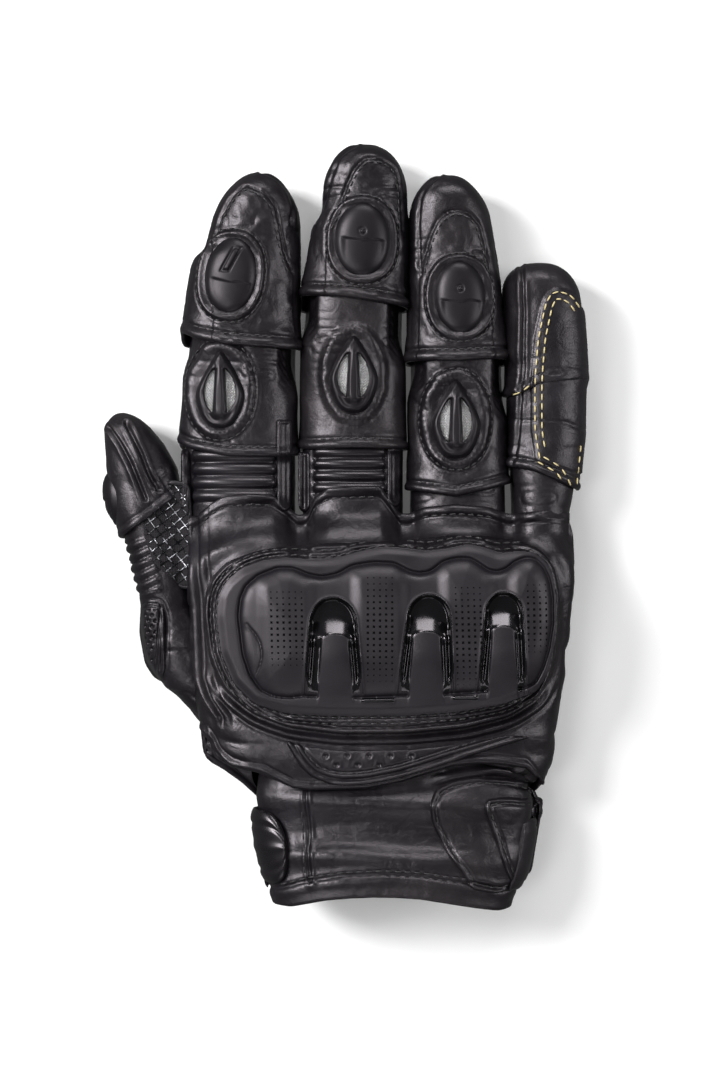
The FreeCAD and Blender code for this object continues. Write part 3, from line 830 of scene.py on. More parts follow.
LITTLE_PANEL = [
    (58.5, 19.9), (57.0, 29), (57.0, 45.7), (58, 58), (60.3, 68.9), (62.0, 72.2), (64.6, 74.0),
    (70.5, 72.5), (73.7, 68.2),
]


def side_panel_relief(x, y, n, low):
    """The stitched panel on the little finger's outer side stands proud. low is where it ends below."""
    path = smooth_line(LITTLE_PANEL)
    d = line_distance(x, y, path)
    inside = inside_distance(x, y, np.vstack([path, [(90, 66), (90, low)]])) > 0
    step = np.where(inside, 0.7 * (1 - np.exp(-d / 0.9)), -0.15 * np.exp(-d / 2))
    return step * smoothstep(-0.4, 0.2, n[..., 2])


def radial_folds(angle, shift, size, sharp):
    """Short folds that run in to a ring of piping."""
    flat = np.zeros_like(angle)
    return creases(np.stack([angle, flat, flat], axis=-1) + shift, size, sharp)


def arch_relief(name, x, y, p):
    """The tip's outer leather stands behind the panel inside the arch."""
    path = smooth_line(ARCHES[name])
    d = line_distance(x, y, path)
    loop = np.vstack([path, path[-1] - (0, 40), path[0] - (0, 40)])
    inside = inside_distance(x, y, loop) > 0
    h = np.where(inside, 0.55 * (1 - np.exp(-d / 1.2)) - 0.1, -0.25 * np.exp(-d / 3.0))
    h = h - 0.75 * bump(d, 0.5)
    for seam in OUTER_SEAMS[name]:
        h = h + groove(x, y, smooth_line(seam), 0.5, 0.6, 0.3)
    return h * (1 + 0.5 * noise(p, 2.2))


def finger_upper_relief(name, p, n):
    """Middle and tip panel: a ring of piping round the slider, the arch behind it, and the lower hem."""
    x, y = p[..., 0], p[..., 1]
    up = up_weight(n)
    h = skin(p, 0.20, 6.5)
    knuckle = FOLD[name][1]
    if name in ARCHES:
        sx, sy = SLIDER_AT[name]
        a, b, lean = RING_SIZE[name]
        ring = ellipse(sx, sy, a, b, lean, 64, 2.3)
        d = inside_distance(x, y, ring)
        angle = np.arctan2(y - sy, (x - sx) * 1.2)
        rim = (
            0.75 * bump(d - 1.0, 0.75) * (1 + 0.05 * np.cos(angle * 46) + 0.1 * noise(p, 3.5))
            + 0.75 * bump(d - 1.6, 2.6)
        )
        rim = rim - 0.4 * bump(d + 0.5, 0.5)
        radial = radial_folds(angle * 9, 5, 2.0, 3.0)
        rim = rim - 0.2 * radial * np.exp(-np.maximum(-d, 0) / 3.0) * (d < -0.5)
        h = h + up * (rim + arch_relief(name, x, y, p))
        # folds where the leather bunches between the slider and the tip, and beside the slider
        h = h - up * 0.5 * creases(p + 50, (9, 3.2, 9), 6.0) * bump(y - sy - b - 2, 5.0)
        beside = 0.35 * up * creases(p + 90, (3.5, 8, 9), 6.0) * smoothstep(a, a + 4, np.abs(x - sx))
        h = h - beside * bump(y - sy, 14)
    hem = curve_of(HEMS[name][1])
    from_hem = y - hem(x)
    h = h + up * profile(from_hem, (0.75, 1.1, 1.3), (-0.5, 3.1, 0.5), (0.25, 4.6, 1.2))
    h = h + 1.0 * np.exp(-np.maximum(from_hem, 0) / 5.0)
    side = 1 - smoothstep(0.15, 0.5, np.abs(n[..., 2]))
    h = h - 0.3 * side * creases(p + 20, (8, 3.5, 8), 6.0) * bump(y - sum(knuckle) / 2 - 12, 14)
    return h


def little_upper_relief(name, p, n):
    """The little finger has no slider: it carries the stitched side panel."""
    x, y = p[..., 0], p[..., 1]
    up = up_weight(n)
    h = skin(p, 0.2, 6.0)
    h = h + side_panel_relief(x, y, n, 18)
    seam = [(54.4, 82), (54.7, 66), (54.6, 50), (54.2, 42)]
    h = h + up * groove(x, y, seam, 0.55, 0.8, 0.4)
    hem = curve_of(HEMS[name][1])
    from_hem = y - hem(x)
    h = h + np.where(x < 58, 1, 0.2) * (
        0.6 * bump(from_hem - 1.1, 1.2) + 0.8 * np.exp(-np.maximum(from_hem, 0) / 4.0)
    )
    h = h - 0.35 * up * creases(p + 20, (7, 2.6, 9), 6.0) * bump(y - 47, 7)
    return h


def finger_lower_relief(name, p, n):
    """Proximal panel: a ring of piping round the vent, and the hem over the knuckle."""
    x, y = p[..., 0], p[..., 1]
    up = up_weight(n)
    h = skin(p, 0.2, 6.5)
    hem = curve_of(HEMS[name][0])
    from_hem = y - hem(x)
    h = h + up * profile(from_hem, (0.7, 1.0, 1.2), (-0.45, 2.6, 0.5), (0.2, 4.0, 1.2))
    h = h + 0.9 * np.exp(-np.maximum(from_hem, 0) / 5.0)
    if name in VENT_AT:
        vx, vy = VENT_AT[name]
        wide = {"index": (10.6, 15.0), "middle": (10.0, 15.2), "ring": (10.6, 15.4)}[name]
        ring = ellipse(vx, vy, wide[0], wide[1], 0, 64, 2.1)
        d = inside_distance(x, y, ring)
        angle = np.arctan2(y - vy, (x - vx) * 1.4)
        radial = radial_folds(angle * 8, 3, 1.6, 2.5)
        rim = (
            1.3 * bump(d - 1.4, 2.1) * (1 + 0.03 * np.cos(angle * 44))
            - (0.15 if name == "middle" else 0.4) * bump(d + 1.2, 0.9)
        )
        rim = rim - 0.3 * radial * np.exp(-np.maximum(-d, 0) / 3.5) * (d < 0.5)
        h = h + up * rim * (1 + 0.2 * noise(p, 2.5))
    else:
        h = h + side_panel_relief(x, y, n, 12)
        h = h + up * groove(x, y, [(54.0, 41), (53.2, 28), (52.4, 19)], 0.5, 0.6, 0.3)
    # the sleeve narrows where it goes under the flap, and pleats down its sides let it stretch there
    if name != "little":
        centre = hinge(name + "_knuckle")[0]
        half = (BASE[name].rows[1][0] - BASE[name].rows[0][0]) / 2
        out = smoothstep(0.62, 0.9, np.abs(x - centre) / half)
        neck = smoothstep(FOLD[name][1][0] - 9, FOLD[name][1][0] + 3, y + 3 * np.sign(x - centre))
        h = h - 3.0 * neck * out * smoothstep(-0.6, 0.3, n[..., 2])
        pleat = np.cos((y * 0.85 + np.abs(x - centre) * 0.9) * 2.4)
        h = h + 0.4 * pleat * out * neck * smoothstep(0.97, 0.8, np.abs(x - centre) / half)
    # folds that gather under the flap of the middle joint
    h = h - 0.5 * up * creases(p + 60, (11, 2.6, 11), 6.0) * bump(y - FOLD[name][1][0] + 2, 6.0)
    return h


RIBS = {
    "index": (-48.6, -22.2, [21.6, 17.4, 13.2, 9.1], 4.2),
    "middle": (-10.6, 11.9, [22.7, 19.0, 15.3, 11.7], 3.7),
}


def knuckle_relief(name, p, n):
    """The sleeve over the knuckle, with stretch ribs on the index and middle finger."""
    x, y = p[..., 0], p[..., 1]
    up = up_weight(n)
    h = skin(p, 0.16, 7.0)
    if name in RIBS:
        left, right, tops, pitch = RIBS[name]
        across = smoothstep(left - 0.9, left + 0.5, x) * (1 - smoothstep(right - 0.5, right + 0.9, x))
        low, high = tops[-1] - pitch / 2, tops[0] + pitch / 2
        zone = across * smoothstep(low - 0.6, low + 0.3, y) * (1 - smoothstep(high + 3, high + 4, y))
        phase = (y - tops[0]) / pitch
        ridge = np.abs(np.cos(math.pi * phase)) ** 0.75
        h = h * (1 - zone) + up * zone * (1.45 * ridge - 0.65)
        for edge in (left, right):
            h = h - up * 0.6 * bump(x - edge, 0.6) * smoothstep(low - 1, low, y)
    else:
        h = h - 0.4 * up * creases(p + 70, (10, 3.0, 10), 6.0) * bump(y - sum(FOLD[name][0]) / 2, 8)
    return h


FLAPS_END = {"index": (24, 57), "middle": (24, 68), "ring": (14, 51), "little": (18, 41)}  # hems, palm side
SKINS = {}  # name: knuckle, lower and upper leather
for _name in FINGER_NAMES:
    tube = BASE[_name]
    knuckle_fold, middle_fold = (fold_ends(_name, fold) for fold in FOLD[_name])
    lower_hem, upper_hem = (curve_of(h) for h in HEMS[_name])
    low_end, high_end = FLAPS_END[_name]
    ribbed, little = _name in RIBS, _name == "little"

    rows = hem_rows(tube, -13.5, low_end + 9.0, -13.5, low_end + 7.0, 0.42 if ribbed else 0.55)
    relief = lambda p, n, k=_name: knuckle_relief(k, p, n)
    knuckle = sleeve(_name + "_knuckle_sleeve", tube, rows, [LEATHER, RIB_LEATHER], relief, grow=-0.75)
    if ribbed:
        left, right, tops, pitch = RIBS[_name]
        for face in knuckle.data.polygons:
            x, y, z = face.center / MM
            on_ribs = left < x < right and y > tops[-1] - pitch / 2 and z > hinge(_name + "_knuckle")[2]
            face.material_index = int(on_ribs)
    ribs = [_name + "_stretch_ribs"] if ribbed else []
    blend(knuckle, "hand", _name + "_lower", *knuckle_fold, "leather", *ribs)

    rows = hem_rows(tube, lower_hem, FOLD[_name][1][1] + 1.5, low_end, FOLD[_name][1][1] + 1.5)
    relief = lambda p, n, k=_name: finger_lower_relief(k, p, n)
    lower = sleeve(_name + "_lower_leather", tube, rows, LEATHER, relief, grow=0.1, hem=(1.0, 0))
    side = ["little_lower_side_panel"] if little else []
    blend(
        lower, _name + "_lower", _name + "_upper", *middle_fold, "leather", _name + "_lower_sleeve", *side
    )

    rows = tip_rows(tube, upper_hem, high_end)
    form = little_upper_relief if little else finger_upper_relief
    relief = lambda p, n, k=_name, f=form: f(k, p, n)
    upper = sleeve(_name + "_upper_leather", tube, rows, LEATHER, relief, grow=0.55, hem=(1.0, 0))
    nodes = [_name + "_upper_sleeve", _name + "_tip_cap"] + (["little_upper_side_panel"] if little else [])
    blend(upper, _name + "_lower", _name + "_upper", *middle_fold, "leather", *nodes)
    SKINS[_name] = knuckle, lower, upper

# ---------------------------------------------------------------- hand

HAND_ROWS = [
    (-86.5, -29.5, 57.5, 3.6, 33.4),
    (-81, -33.0, 61.0, 3.0, 33.8),
    (-76.5, -40.6, 63.6, 2.2, 34.6),
    (-72.5, -45.0, 64.4, 1.6, 35.4),
    (-62, -46.8, 65.4, 1.2, 36.0),
    (-43, -48.6, 68.2, 1.2, 36.2),
    (-18, -50.0, 71.2, 1.2, 36.2),
    (-8, -50.4, 70.8, 1.2, 35.0),
    (-2, -50.6, 70.4, 1.2, 31.0),
    (4, -50.8, 69.8, 1.2, 27.5),
    (14, -50.8, 70.0, 1.2, 26.6),
]
HAND = Tube(HAND_ROWS, around=520, power=(2.9, 3.2), soft=14)
HAND_END = curve_of(
    [
        (-60, -64), (-46, -64), (-42, -66.1), (-39.8, -71.5), (-35.8, -74.7), (-29.5, -75.8),
        (-25.8, -76.5), (-22.3, -78.3), (-16.8, -81), (-11.8, -81.6),
        (-1.3, -81.2), (5.9, -81), (16.8, -78.8), (32.3, -74.0), (40, -73.2), (47, -73.6), (55.8, -75.0),
        (59, -79.2), (61, -81.5), (70, -82),
    ],
    6,
)
FRONT = curve_of(
    [
        (-56, 0.5), (-51, 0.8), (-46.2, 3.0), (-42, 6.6), (-38.2, 8.5), (-30, 9.2), (-23, 8.9),
        (-19, 6.0), (-15.7, 2.7), (-12.6, 3.2), (-10.2, 8.6), (-6, 11.0), (2, 11.4), (10.4, 11.6),
        (13.5, 7.5), (16.5, 3.2), (19.1, 3.0), (24, 5.2), (34, 6.0), (44, 5.2), (50.5, 3.0), (56, 3.6),
        (64, 4.4), (72, 3.0),
    ],
    8,
)
WELT_OUTER = [
    (-44.6, -28), (-44.2, -22), (-42.6, -17.0), (-37.6, -11.6), (-28.7, -8.1), (-17.9, -6.3), (-5, -5.6),
    (8, -5.2), (20, -4.4), (32, -3.2), (44, -3.4), (54, -4.8), (60, -7.6), (64.2, -13.0), (66.0, -22),
    (65.6, -34), (63.6, -45), (59.6, -53.5), (50, -59.4), (36, -62.8), (18, -64.4), (-2, -64.6),
    (-18, -62.6), (-29, -58.6), (-37.6, -51.6), (-42.6, -42.5),
]
WELT_INNER = [
    (-39.1, -28), (-38.4, -21.5), (-36.0, -17.4), (-31.6, -13.6), (-25, -11.2), (-17, -10.6), (-9, -11.2),
    (-2.5, -10.8), (4, -9.0), (11, -7.6), (18, -8.0), (24, -8.8), (30, -8.0), (36, -6.6), (41, -7.4),
    (46, -9.2), (51, -8.6), (56, -8.8), (60.0, -11.6), (62.4, -17.0), (63.2, -26), (62.6, -36),
    (60.6, -45), (57.2, -50.6), (47, -54.4), (33, -56.6), (15, -57.6), (-4, -57.8), (-18, -57.2),
    (-27.6, -54.4), (-34, -48.2), (-37.8, -39),
]
BODY_OUTLINE = [
    (-33.2, -28), (-32.6, -22.6), (-31.0, -18.8), (-27.4, -15.6), (-21.3, -13.2), (-16.6, -13.2),
    (-12.2, -15.1), (-7.9, -16), (-3.1, -15.1), (1.6, -12.5), (8.1, -11.5), (14.4, -11.8), (18.9, -14.2),
    (22.1, -14.9), (25.6, -14.2), (29.3, -11.2), (33.5, -10.2), (37.6, -10.3), (40.4, -12.0),
    (42.9, -13.8), (45.6, -14.4), (48.4, -13.6), (51.2, -11.2), (54.4, -10.0), (57.4, -10.4),
    (60.0, -12.8), (61.8, -16.6), (62.7, -22), (62.8, -30), (61.6, -38), (59.8, -44), (57.4, -48.6),
    (54.2, -50.2),
]
BODY_LOWER = [
    (30, -52.0), (15.6, -52.6), (3.4, -53.2), (-14, -52.6), (-18, -53.2), (-22.6, -52.6), (-26.6, -50.6),
    (-29.8, -45.8), (-31.8, -39.4),
]
VENT_HEM = [
    (-19.4, -66.0), (-14.9, -74.0), (-11, -77.8), (-6.0, -79.8), (-1.3, -80.4), (5.9, -80.0),
    (16.8, -77.8), (32.3, -72.9), (46.8, -68.6), (57, -65.6),
]
VENT_PANEL = VENT_HEM + [(50, -64.6), (36, -67.2), (18, -68.9), (-2, -69.2), (-13, -68.0)]
# x(y) of the piping along the left edge
LEFT_EDGE = curve_of(
    [(2, -47.6), (-5, -47.3), (-16, -46.9), (-30, -46.0), (-48, -45.0), (-54, -42.8), (-60, -39.0)]
)
PALM_LINES = (
    [(-46, -22), (-20, -14), (12, -9), (60, -7)],
    [(-40, -34), (-14, -26), (20, -26), (50, -34)],
    [(-22, -14), (-18, -36), (-6, -62)],
)
KNUCKLE_TREE = tree_of(*[skins[0] for skins in SKINS.values()])


def hand_relief(p, n):
    x, y = p[..., 0], p[..., 1]
    up = up_weight(n)
    h = skin(p, 0.22, 8.0)
    welt = inside_distance(x, y, smooth_loop(WELT_OUTER, 2.0))
    # leather pulled round the guard's frame
    h = h + up * profile(welt, (-0.5, -1.5, 1.6), (0.45, -5.0, 2.4)) * smoothstep(-62, -50, y)
    # the left edge: a piping, then a rounded strip
    d = x - LEFT_EDGE(y)
    piping = profile(d, (1.3, -0.9, 1.0), (-0.9, 0.7, 0.5), (0.45, 2.1, 1.0), (-0.45, 3.9, 0.5))
    h = h + smoothstep(-0.45, 0.1, n[..., 2]) * piping * smoothstep(-64, -58, y)
    # ridges of leather between the guard's frame and the wrist
    below = (1 - smoothstep(-58, -46, y)) * up
    h = h + below * profile(welt, (1.5, -1.9, 1.0), (-0.7, -3.6, 0.6), (-0.5, -0.3, 0.5))
    from_end = y - HAND_END(x)
    h = h + up * profile(from_end, (0.8, 1.0, 0.9), (-0.4, 2.5, 0.5)) * (y < -60)
    # folds over the right of the wrist and at the heel
    h = h + up * smoothstep(30, 52, x) * bump(y + 71, 8) * 0.9 * noise(p * np.array([0.5, 1.1, 0.6]), 6.0)
    heel = up * (1 - smoothstep(-38, -18, x)) * bump(y + 69, 8)
    h = h + heel * (0.7 * noise(p + 13, (9, 4.2, 9)) - 0.5 * creases(p + 29, (12, 4.5, 12), 6))
    side = 1 - smoothstep(0.1, 0.6, np.abs(n[..., 2]))
    h = h + side * (0.55 * noise(p + 5, (12, 6, 12)) - 0.5 * creases(p + 3, (14, 6.5, 10), 6))
    # palm: broad creases and the lines it folds along
    palm = smoothstep(0.2, 0.7, -n[..., 2])
    for line in PALM_LINES:
        h = h - palm * 0.8 * bump(line_distance(x, y, smooth_line(line, 1.5)), 1.2)
    return h


# the cuff's outline where it goes up inside the hand
CUFF_CENTRE, CUFF_HALF, CUFF_POWER = (12.8, 19.2), (43.0, 12.2), 2.7


def lowered_front(p, near):
    """Heights of the leather over the finger sleeves, between which it sags to the lower neighbour."""
    x, y = p[..., 0], p[..., 1]
    heights = np.full(x.shape, np.nan)
    heights[near] = drop(KNUCKLE_TREE, x[near], y[near], np.nan)
    for _ in range(14):
        empty = np.isnan(heights) & near
        if not empty.any():
            break
        both = np.stack([np.roll(heights, 1, 1), np.roll(heights, -1, 1)])
        with np.errstate(all="ignore"):
            heights = np.where(empty, np.nanmin(both, axis=0), heights)
    lowest = FINGER_TOP - 6.5
    low = np.maximum(np.nan_to_num(heights, nan=lowest), lowest) + 1.0
    for _ in range(3):
        low = np.where(near, (np.roll(low, 1, 1) + 2 * low + np.roll(low, -1, 1)) / 4, low)
    return low


def wrist_closing(edge, start):
    """Rows behind the wrist's rolled edge, where the leather turns in to the cuff, up to the row start."""
    (cx, cz), (half_x, half_z) = CUFF_CENTRE, CUFF_HALF
    angle = np.arctan2((edge[:, 2] - cz) / half_z, (edge[:, 0] - cx) / half_x)
    c, s = np.cos(angle), np.sin(angle)
    r = (np.abs(c) ** CUFF_POWER + np.abs(s) ** CUFF_POWER) ** (-1 / CUFF_POWER)
    inner_x, inner_z = cx + half_x * r * c, cz + half_z * r * s
    inner = np.stack([inner_x, np.minimum(edge[:, 1] + 1.0, -70.0), inner_z], axis=1)
    slack = np.minimum(np.linalg.norm(start - inner, axis=1) / 12, 1)
    rows = []
    for t in np.linspace(0, 1, 9)[:-1]:
        row = inner * (1 - t) + start * t
        row[:, 1] -= (2.2 * np.sin(math.pi * t) + 0.5 * np.sin(9 * angle)) * (t * (1 - t) * 4) * slack
        rows.append(row[None])
    return rows


def build_hand():
    tube = HAND
    p = tube.points(hem_rows(tube, HAND_END, FRONT, -86.0, 1.0, 0.62))
    n = outward_normals(p)
    p = p + n * hand_relief(p, n)[..., None]
    near = (p[..., 1] > -16) & (p[..., 2] > 16)
    low = lowered_front(p, near)
    edge = p[..., 1] - FRONT(p[..., 0])
    w = smoothstep(-13, 0.5, edge + 3.0) * (n[..., 2] > 0.02) * near
    lip = profile(edge, (0.75, -1.2, 1.3), (-0.45, -3.1, 0.5))
    p[..., 2] = p[..., 2] * (1 - w) + np.minimum(low + lip, p[..., 2] + 1.5) * w
    back, along = unit(p[0] - p[1]), unit(p[-1] - p[-2])
    up_last = np.zeros_like(p[-1])
    up_last[:, 2] = np.where(tube.s > 0, 1, -1)
    wrist_roll = ((-1.5, -1.9), (0.1, -1.6), (0.7, -1.0), (0.5, -0.35))
    wrist = [(p[0] + back * a + n[0] * b)[None] for a, b in wrist_roll]
    front_roll = ((0.35, -0.35), (0.45, -1.0), (-0.2, -1.7), (-3.0, -2.0))
    front = [(p[-1] + along * a + up_last * b)[None] for a, b in front_roll]
    p = np.concatenate(wrist_closing(p[0], wrist[0][0]) + wrist + [p] + front)
    obj = new_object("hand_leather", p, grid_faces(*p.shape[:2], True), [LEATHER, LEATHER_PALM])
    for face in obj.data.polygons:
        face.material_index = int(face.center.z < 6 * MM and face.normal.z < 0)
    return obj


def strip_height(x, y, d):
    """Height of the leather strips that edge the ribs."""
    h = 1.0 * (1 - np.exp(-d / 0.6)) + 0.35 * bump(d - 0.9, 0.6)
    return h - 0.25 * bump(d - 1.9, 0.5) + 0.1 * flat_noise(x, y, 3.0)


hand = build_hand()
blend(hand, "hand", "cuff", *WRIST_FOLD, "leather", "back_panel", "palm_panel", "hand_lining")
HAND_TREE = tree_of(hand)
STRIPS = {  # beside the ribs: left, right, lower and upper end
    "index": [(-22.2, -17.0, 3.6, 33.0), (-52.2, -49.2, 4.0, 24.0)],
    "middle": [(12.2, 17.4, 5.0, 24.0), (-15.4, -11.4, 3.6, 23.0)],
}
for _name, strips in STRIPS.items():
    tree = tree_of(hand, *SKINS[_name][:2])
    for k, (x0, x1, y0, y1) in enumerate(strips):
        r = (x1 - x0) / 2
        outline = [(x0, y1), (x0, y0 + r), (x0 + r * 0.4, y0 + r * 0.3), (x0 + r, y0)]
        outline += [(x1 - r * 0.4, y0 + r * 0.3), (x1, y0 + r), (x1, y1)]
        path = smooth_loop(outline, 0.6)
        strip = relief_patch(
            f"{_name}_strip_{k + 1}", tree, path, strip_height, LEATHER, step=0.34, calm=16
        )
        blend(strip, "hand", _name + "_lower", *fold_ends(_name, FOLD[_name][0]), "leather")


# ---------------------------------------------------------------- knuckle guard


def build_welt():
    """The stitched leather frame round the knuckle guard."""
    outer, inner = smooth_loop(WELT_OUTER, 1.2), smooth_loop(WELT_INNER, 1.2)

    def height(x, y, d):
        gap = -inside_distance(x, y, inner)
        band = 2.5 * (1 - np.exp(-d / 0.9)) + 0.5 * smoothstep(0, 5, d)
        h = band + 0.16 * flat_noise(x, y, 5.0) + 0.1 * flat_noise(x, y, 1.7)
        h = h + profile(gap, (-0.55, 1.3, 0.45), (-0.55, 3.2, 0.45))
        h = h + 0.25 * bump(gap - 2.25, 0.6) + profile(d, (0.75, 1.1, 0.75), (-0.35, 2.4, 0.45))
        low = smoothstep(-42, -52, y) * smoothstep(-34, -20, x)
        h = h + low * profile(d, (0.5, 1.2, 0.8), (-0.6, 2.6, 0.5), (0.25, 3.6, 0.7))
        pull = np.exp(-((np.mod(x * 0.9 + y * 0.8, 2.6) - 1.3) ** 2) / 0.5)
        return h - 0.18 * pull * bump(gap - 2.2, 1.8)

    hole = lambda x, y: inside_distance(x, y, inner) > 1.2
    return relief_patch(
        "guard_frame_leather", HAND_TREE, outer, height, LEATHER, step=0.4, sink=0.5, hole=hole
    )


def arch(crown, legs, rise=1.15):
    """Open path up one leg, round the top and down the other.

    crown is (x, y, half width), legs are the lower ends, and rise is the top's height by its half width.
    """
    (cx, cy, half), (left, right) = crown, legs
    a = np.linspace(math.pi, 0, 26)
    tall = half * rise
    top = np.stack([cx + half * np.cos(a), cy - tall + tall * np.sin(a)], axis=1)
    return np.vstack([[left], top, [right]])


# each channel: its outer edge, then the edge of the tongue that stands in it
CHANNELS = [
    (
        arch((-4.2, -22.4, 7.0), ((-12.9, -52.8), (4.9, -53.6))),
        arch((-3.6, -33.2, 4.2), ((-10.4, -70), (3.4, -70)), 0.5),
    ),
    (
        arch((24.9, -21.6, 6.5), ((15.4, -52.8), (32.3, -52.3))),
        arch((24.2, -32.4, 4.3), ((17.4, -70), (30.8, -70)), 0.5),
    ),
    (
        arch((47.7, -20.9, 5.6), ((39.8, -52.0), (54.4, -49.4))),
        arch((47.5, -30.8, 3.5), ((41.6, -70), (53.6, -70)), 0.5),
    ),
]
# each dotted pad: centre of the top row, rows, columns, sideways step per row, size of the top row's dots
PADS = [
    (-18.5, -20.5, 13, 6, 0.04, 0.8),
    (10.0, -16.2, 18, 5, 0.0, 1.0),
    (36.6, -19.2, 17, 5, 0.05, 1.0),
    (57.6, -18.4, 12, 4, 0.03, 0.7),
]
# a step in the moulding's thumb side
CRESCENT = [(-30.4, -30.3), (-27.8, -33.2), (-26.2, -36.2), (-25.7, -39.6), (-26.3, -43), (-27.8, -46.3)]
LIPS = [(9.4, -53.5, 4.9), (36.0, -52.8, 3.7)]  # polished edges under two pads: centre and half length
DOT_PITCH = 1.85


def channel_distances(x, y, outer, tongue):
    """Distances inside a channel's outer edge and inside its tongue."""
    closed = np.vstack([outer, [(outer[-1][0] + 0.4, -57.5), (outer[0][0] - 0.4, -57.5)]])
    return inside_distance(x, y, closed), inside_distance(x, y, tongue)


def narrowing(y):
    """How far a leg's outer edge moves in towards the leg's lower end, where the leg runs out to a point."""
    return 1.9 * smoothstep(-44, -53, y)


def guard_height(x, y, d):
    """Height of the moulding over the back of the hand. d is the distance inside the flange's rim."""
    b = inside_distance(x, y, smooth_loop(BODY_OUTLINE + BODY_LOWER, 0.8, softness=2))
    flange = 3.3 + 0.9 * smoothstep(0, 3, d) + 0.35 * smoothstep(-6, 0, b)
    rise = 1.9 * (1 - np.exp(-np.maximum(b - 0.3, 0) / 1.3)) + 1.7 * smoothstep(0, 16, b)
    for px, py, _, _, lean, _ in PADS:
        across = np.abs(x - px - lean * (py - y) / DOT_PITCH)
        rise = rise + 0.75 * smoothstep(9.6, 5.2, across) * smoothstep(0, 5, b) * smoothstep(-57, -40, y)
    rise = rise - 0.9 * smoothstep(-38, -57, y)
    under_tongue = np.zeros_like(x)
    h = flange + np.where(b > 0, rise, 0)
    crescent = smooth_line(CRESCENT, 0.6)
    c = line_distance(x, y, crescent)
    outside = x < np.interp(y, crescent[::-1, 1], crescent[::-1, 0])
    along = smoothstep(-47.5, -44, y) * (1 - smoothstep(-33, -29.5, y))
    h = h - np.where(outside, 0.7 * np.exp(-c / 2.2), 0) * along - 0.25 * bump(c, 0.35)
    for outer, tongue in CHANNELS:
        o, t = channel_distances(x, y, outer, tongue)
        top = tongue[:, 1].max()
        # the tongue runs down from the body's height to the flange's
        level = flange + (3.6 - 0.02 * (x - tongue[13][0]) ** 2) * smoothstep(-55.6, -37, y)
        on_tongue = smoothstep(-0.15, 0.45, t)
        under_tongue = np.maximum(under_tongue, smoothstep(-0.4, 0.6, t))
        # a scoop over the tongue rises to it at an even slope, and each leg is a double groove
        scoop = smoothstep(top - 4.5, top + 0.5, y)
        down = np.clip(top + 6.0 - y - 0.075 * (x - tongue[13][0] + 0.6) ** 2, 0, 6.2)
        slope = 0.57 * (down - 0.9 * (1 - np.exp(-down / 0.9)))
        legs = flange + 0.9 + 1.4 * smoothstep(-52, -30, y) + 0.9 * bump(o - 1.7, 0.45)
        floor = (flange + 0.3 + slope) * scoop + legs * (1 - scoop)
        between = smoothstep(-0.1, 0.75, o - narrowing(y)) * smoothstep(-54.2, -48.0, y)
        h = h * (1 - between) + np.minimum(floor, h) * between
        h = h * (1 - on_tongue) + level * on_tongue
        beside = (t < 0) * (y > -52)
        h = h + 0.22 * bump(o + 0.55, 0.35) * beside - 0.2 * bump(o - 0.1, 0.3) * beside
    h = h - 1.0 * bump(b - 0.1, 0.5) * (1 - under_tongue) * (1 - 0.6 * smoothstep(-47, -53, y))
    for cx, cy, half in LIPS:
        h = h + 0.75 * bump(y - cy, 0.6) * smoothstep(half + 0.8, half - 0.8, np.abs(x - cx))
    ceiling = GUARD_TOP - HAND_TOP - 0.05
    return ceiling - np.log1p(np.exp((ceiling - h) * 3.0)) / 3.0 + 0.06


def guard_pick(x, y):
    """1 where the moulding is polished: in the channels and along the lips."""
    which = np.zeros(x.shape, int)
    for outer, tongue in CHANNELS:
        o, t = channel_distances(x, y, outer, tongue)
        which[(o > narrowing(y) - 0.5) & (t < 0.1) & (y > -51.2)] = 1
    for cx, cy, half in LIPS:
        which[(np.abs(y - cy) < 0.7) & (np.abs(x - cx) < half)] = 1
    return which


GUARD_CORNERS = [(90 * a, 90 * b, HAND_TOP) for a, b in ((-1, -1), (1, -1), (1, 1), (-1, 1))]
GUARD_BASE = BVHTree.FromPolygons(GUARD_CORNERS, [(0, 1, 2, 3)])


def guard_rim(step):
    """The moulding's rim, and the direction out of it at each point."""
    rim = smooth_loop(WELT_INNER, step)
    return rim, unit(rim - (14.0, -32.0))


def build_guard():
    rim, out = guard_rim(0.8)
    name, plastics = "guard_shell_moulding", [GUARD, GLOSS]
    return relief_patch(name, GUARD_BASE, rim + out, guard_height, plastics, guard_pick, 0.26, 1.0)


def build_dots(tree):
    """Raised square dots in rows over the guard's pads, smaller towards each pad's ends."""
    verts, faces = [], []
    corners = ((-1, -1), (1, -1), (1, 1), (-1, 1))
    half_dot, tall, lower_rows = 0.60, 0.13, 0.62
    for px, py, rows, columns, lean, first in PADS:
        for r in range(rows):
            fade = math.sin(math.pi * (r + 0.7) / (rows + 0.4)) ** 0.55
            half = half_dot * (lower_rows if r else first) * fade
            for c in range(columns):
                x = px + (c - (columns - 1) / 2) * DOT_PITCH + lean * r
                y = py - r * DOT_PITCH
                z = drop(tree, [x], [y])[0]
                start = len(verts)
                for level, narrow in ((-0.25, 1.0), (tall * 0.7, 0.92), (tall, 0.62)):
                    verts += [(x + a * half * narrow, y + b * half * narrow, z + level) for a, b in corners]
                faces += (grid_faces(3, 4, True) + start).tolist()
                faces.append([start + 8, start + 9, start + 10, start + 11])
                faces.append([start + 3, start + 2, start + 1, start])
    return new_object("guard_dots", verts, faces, DOTS, smooth=False)


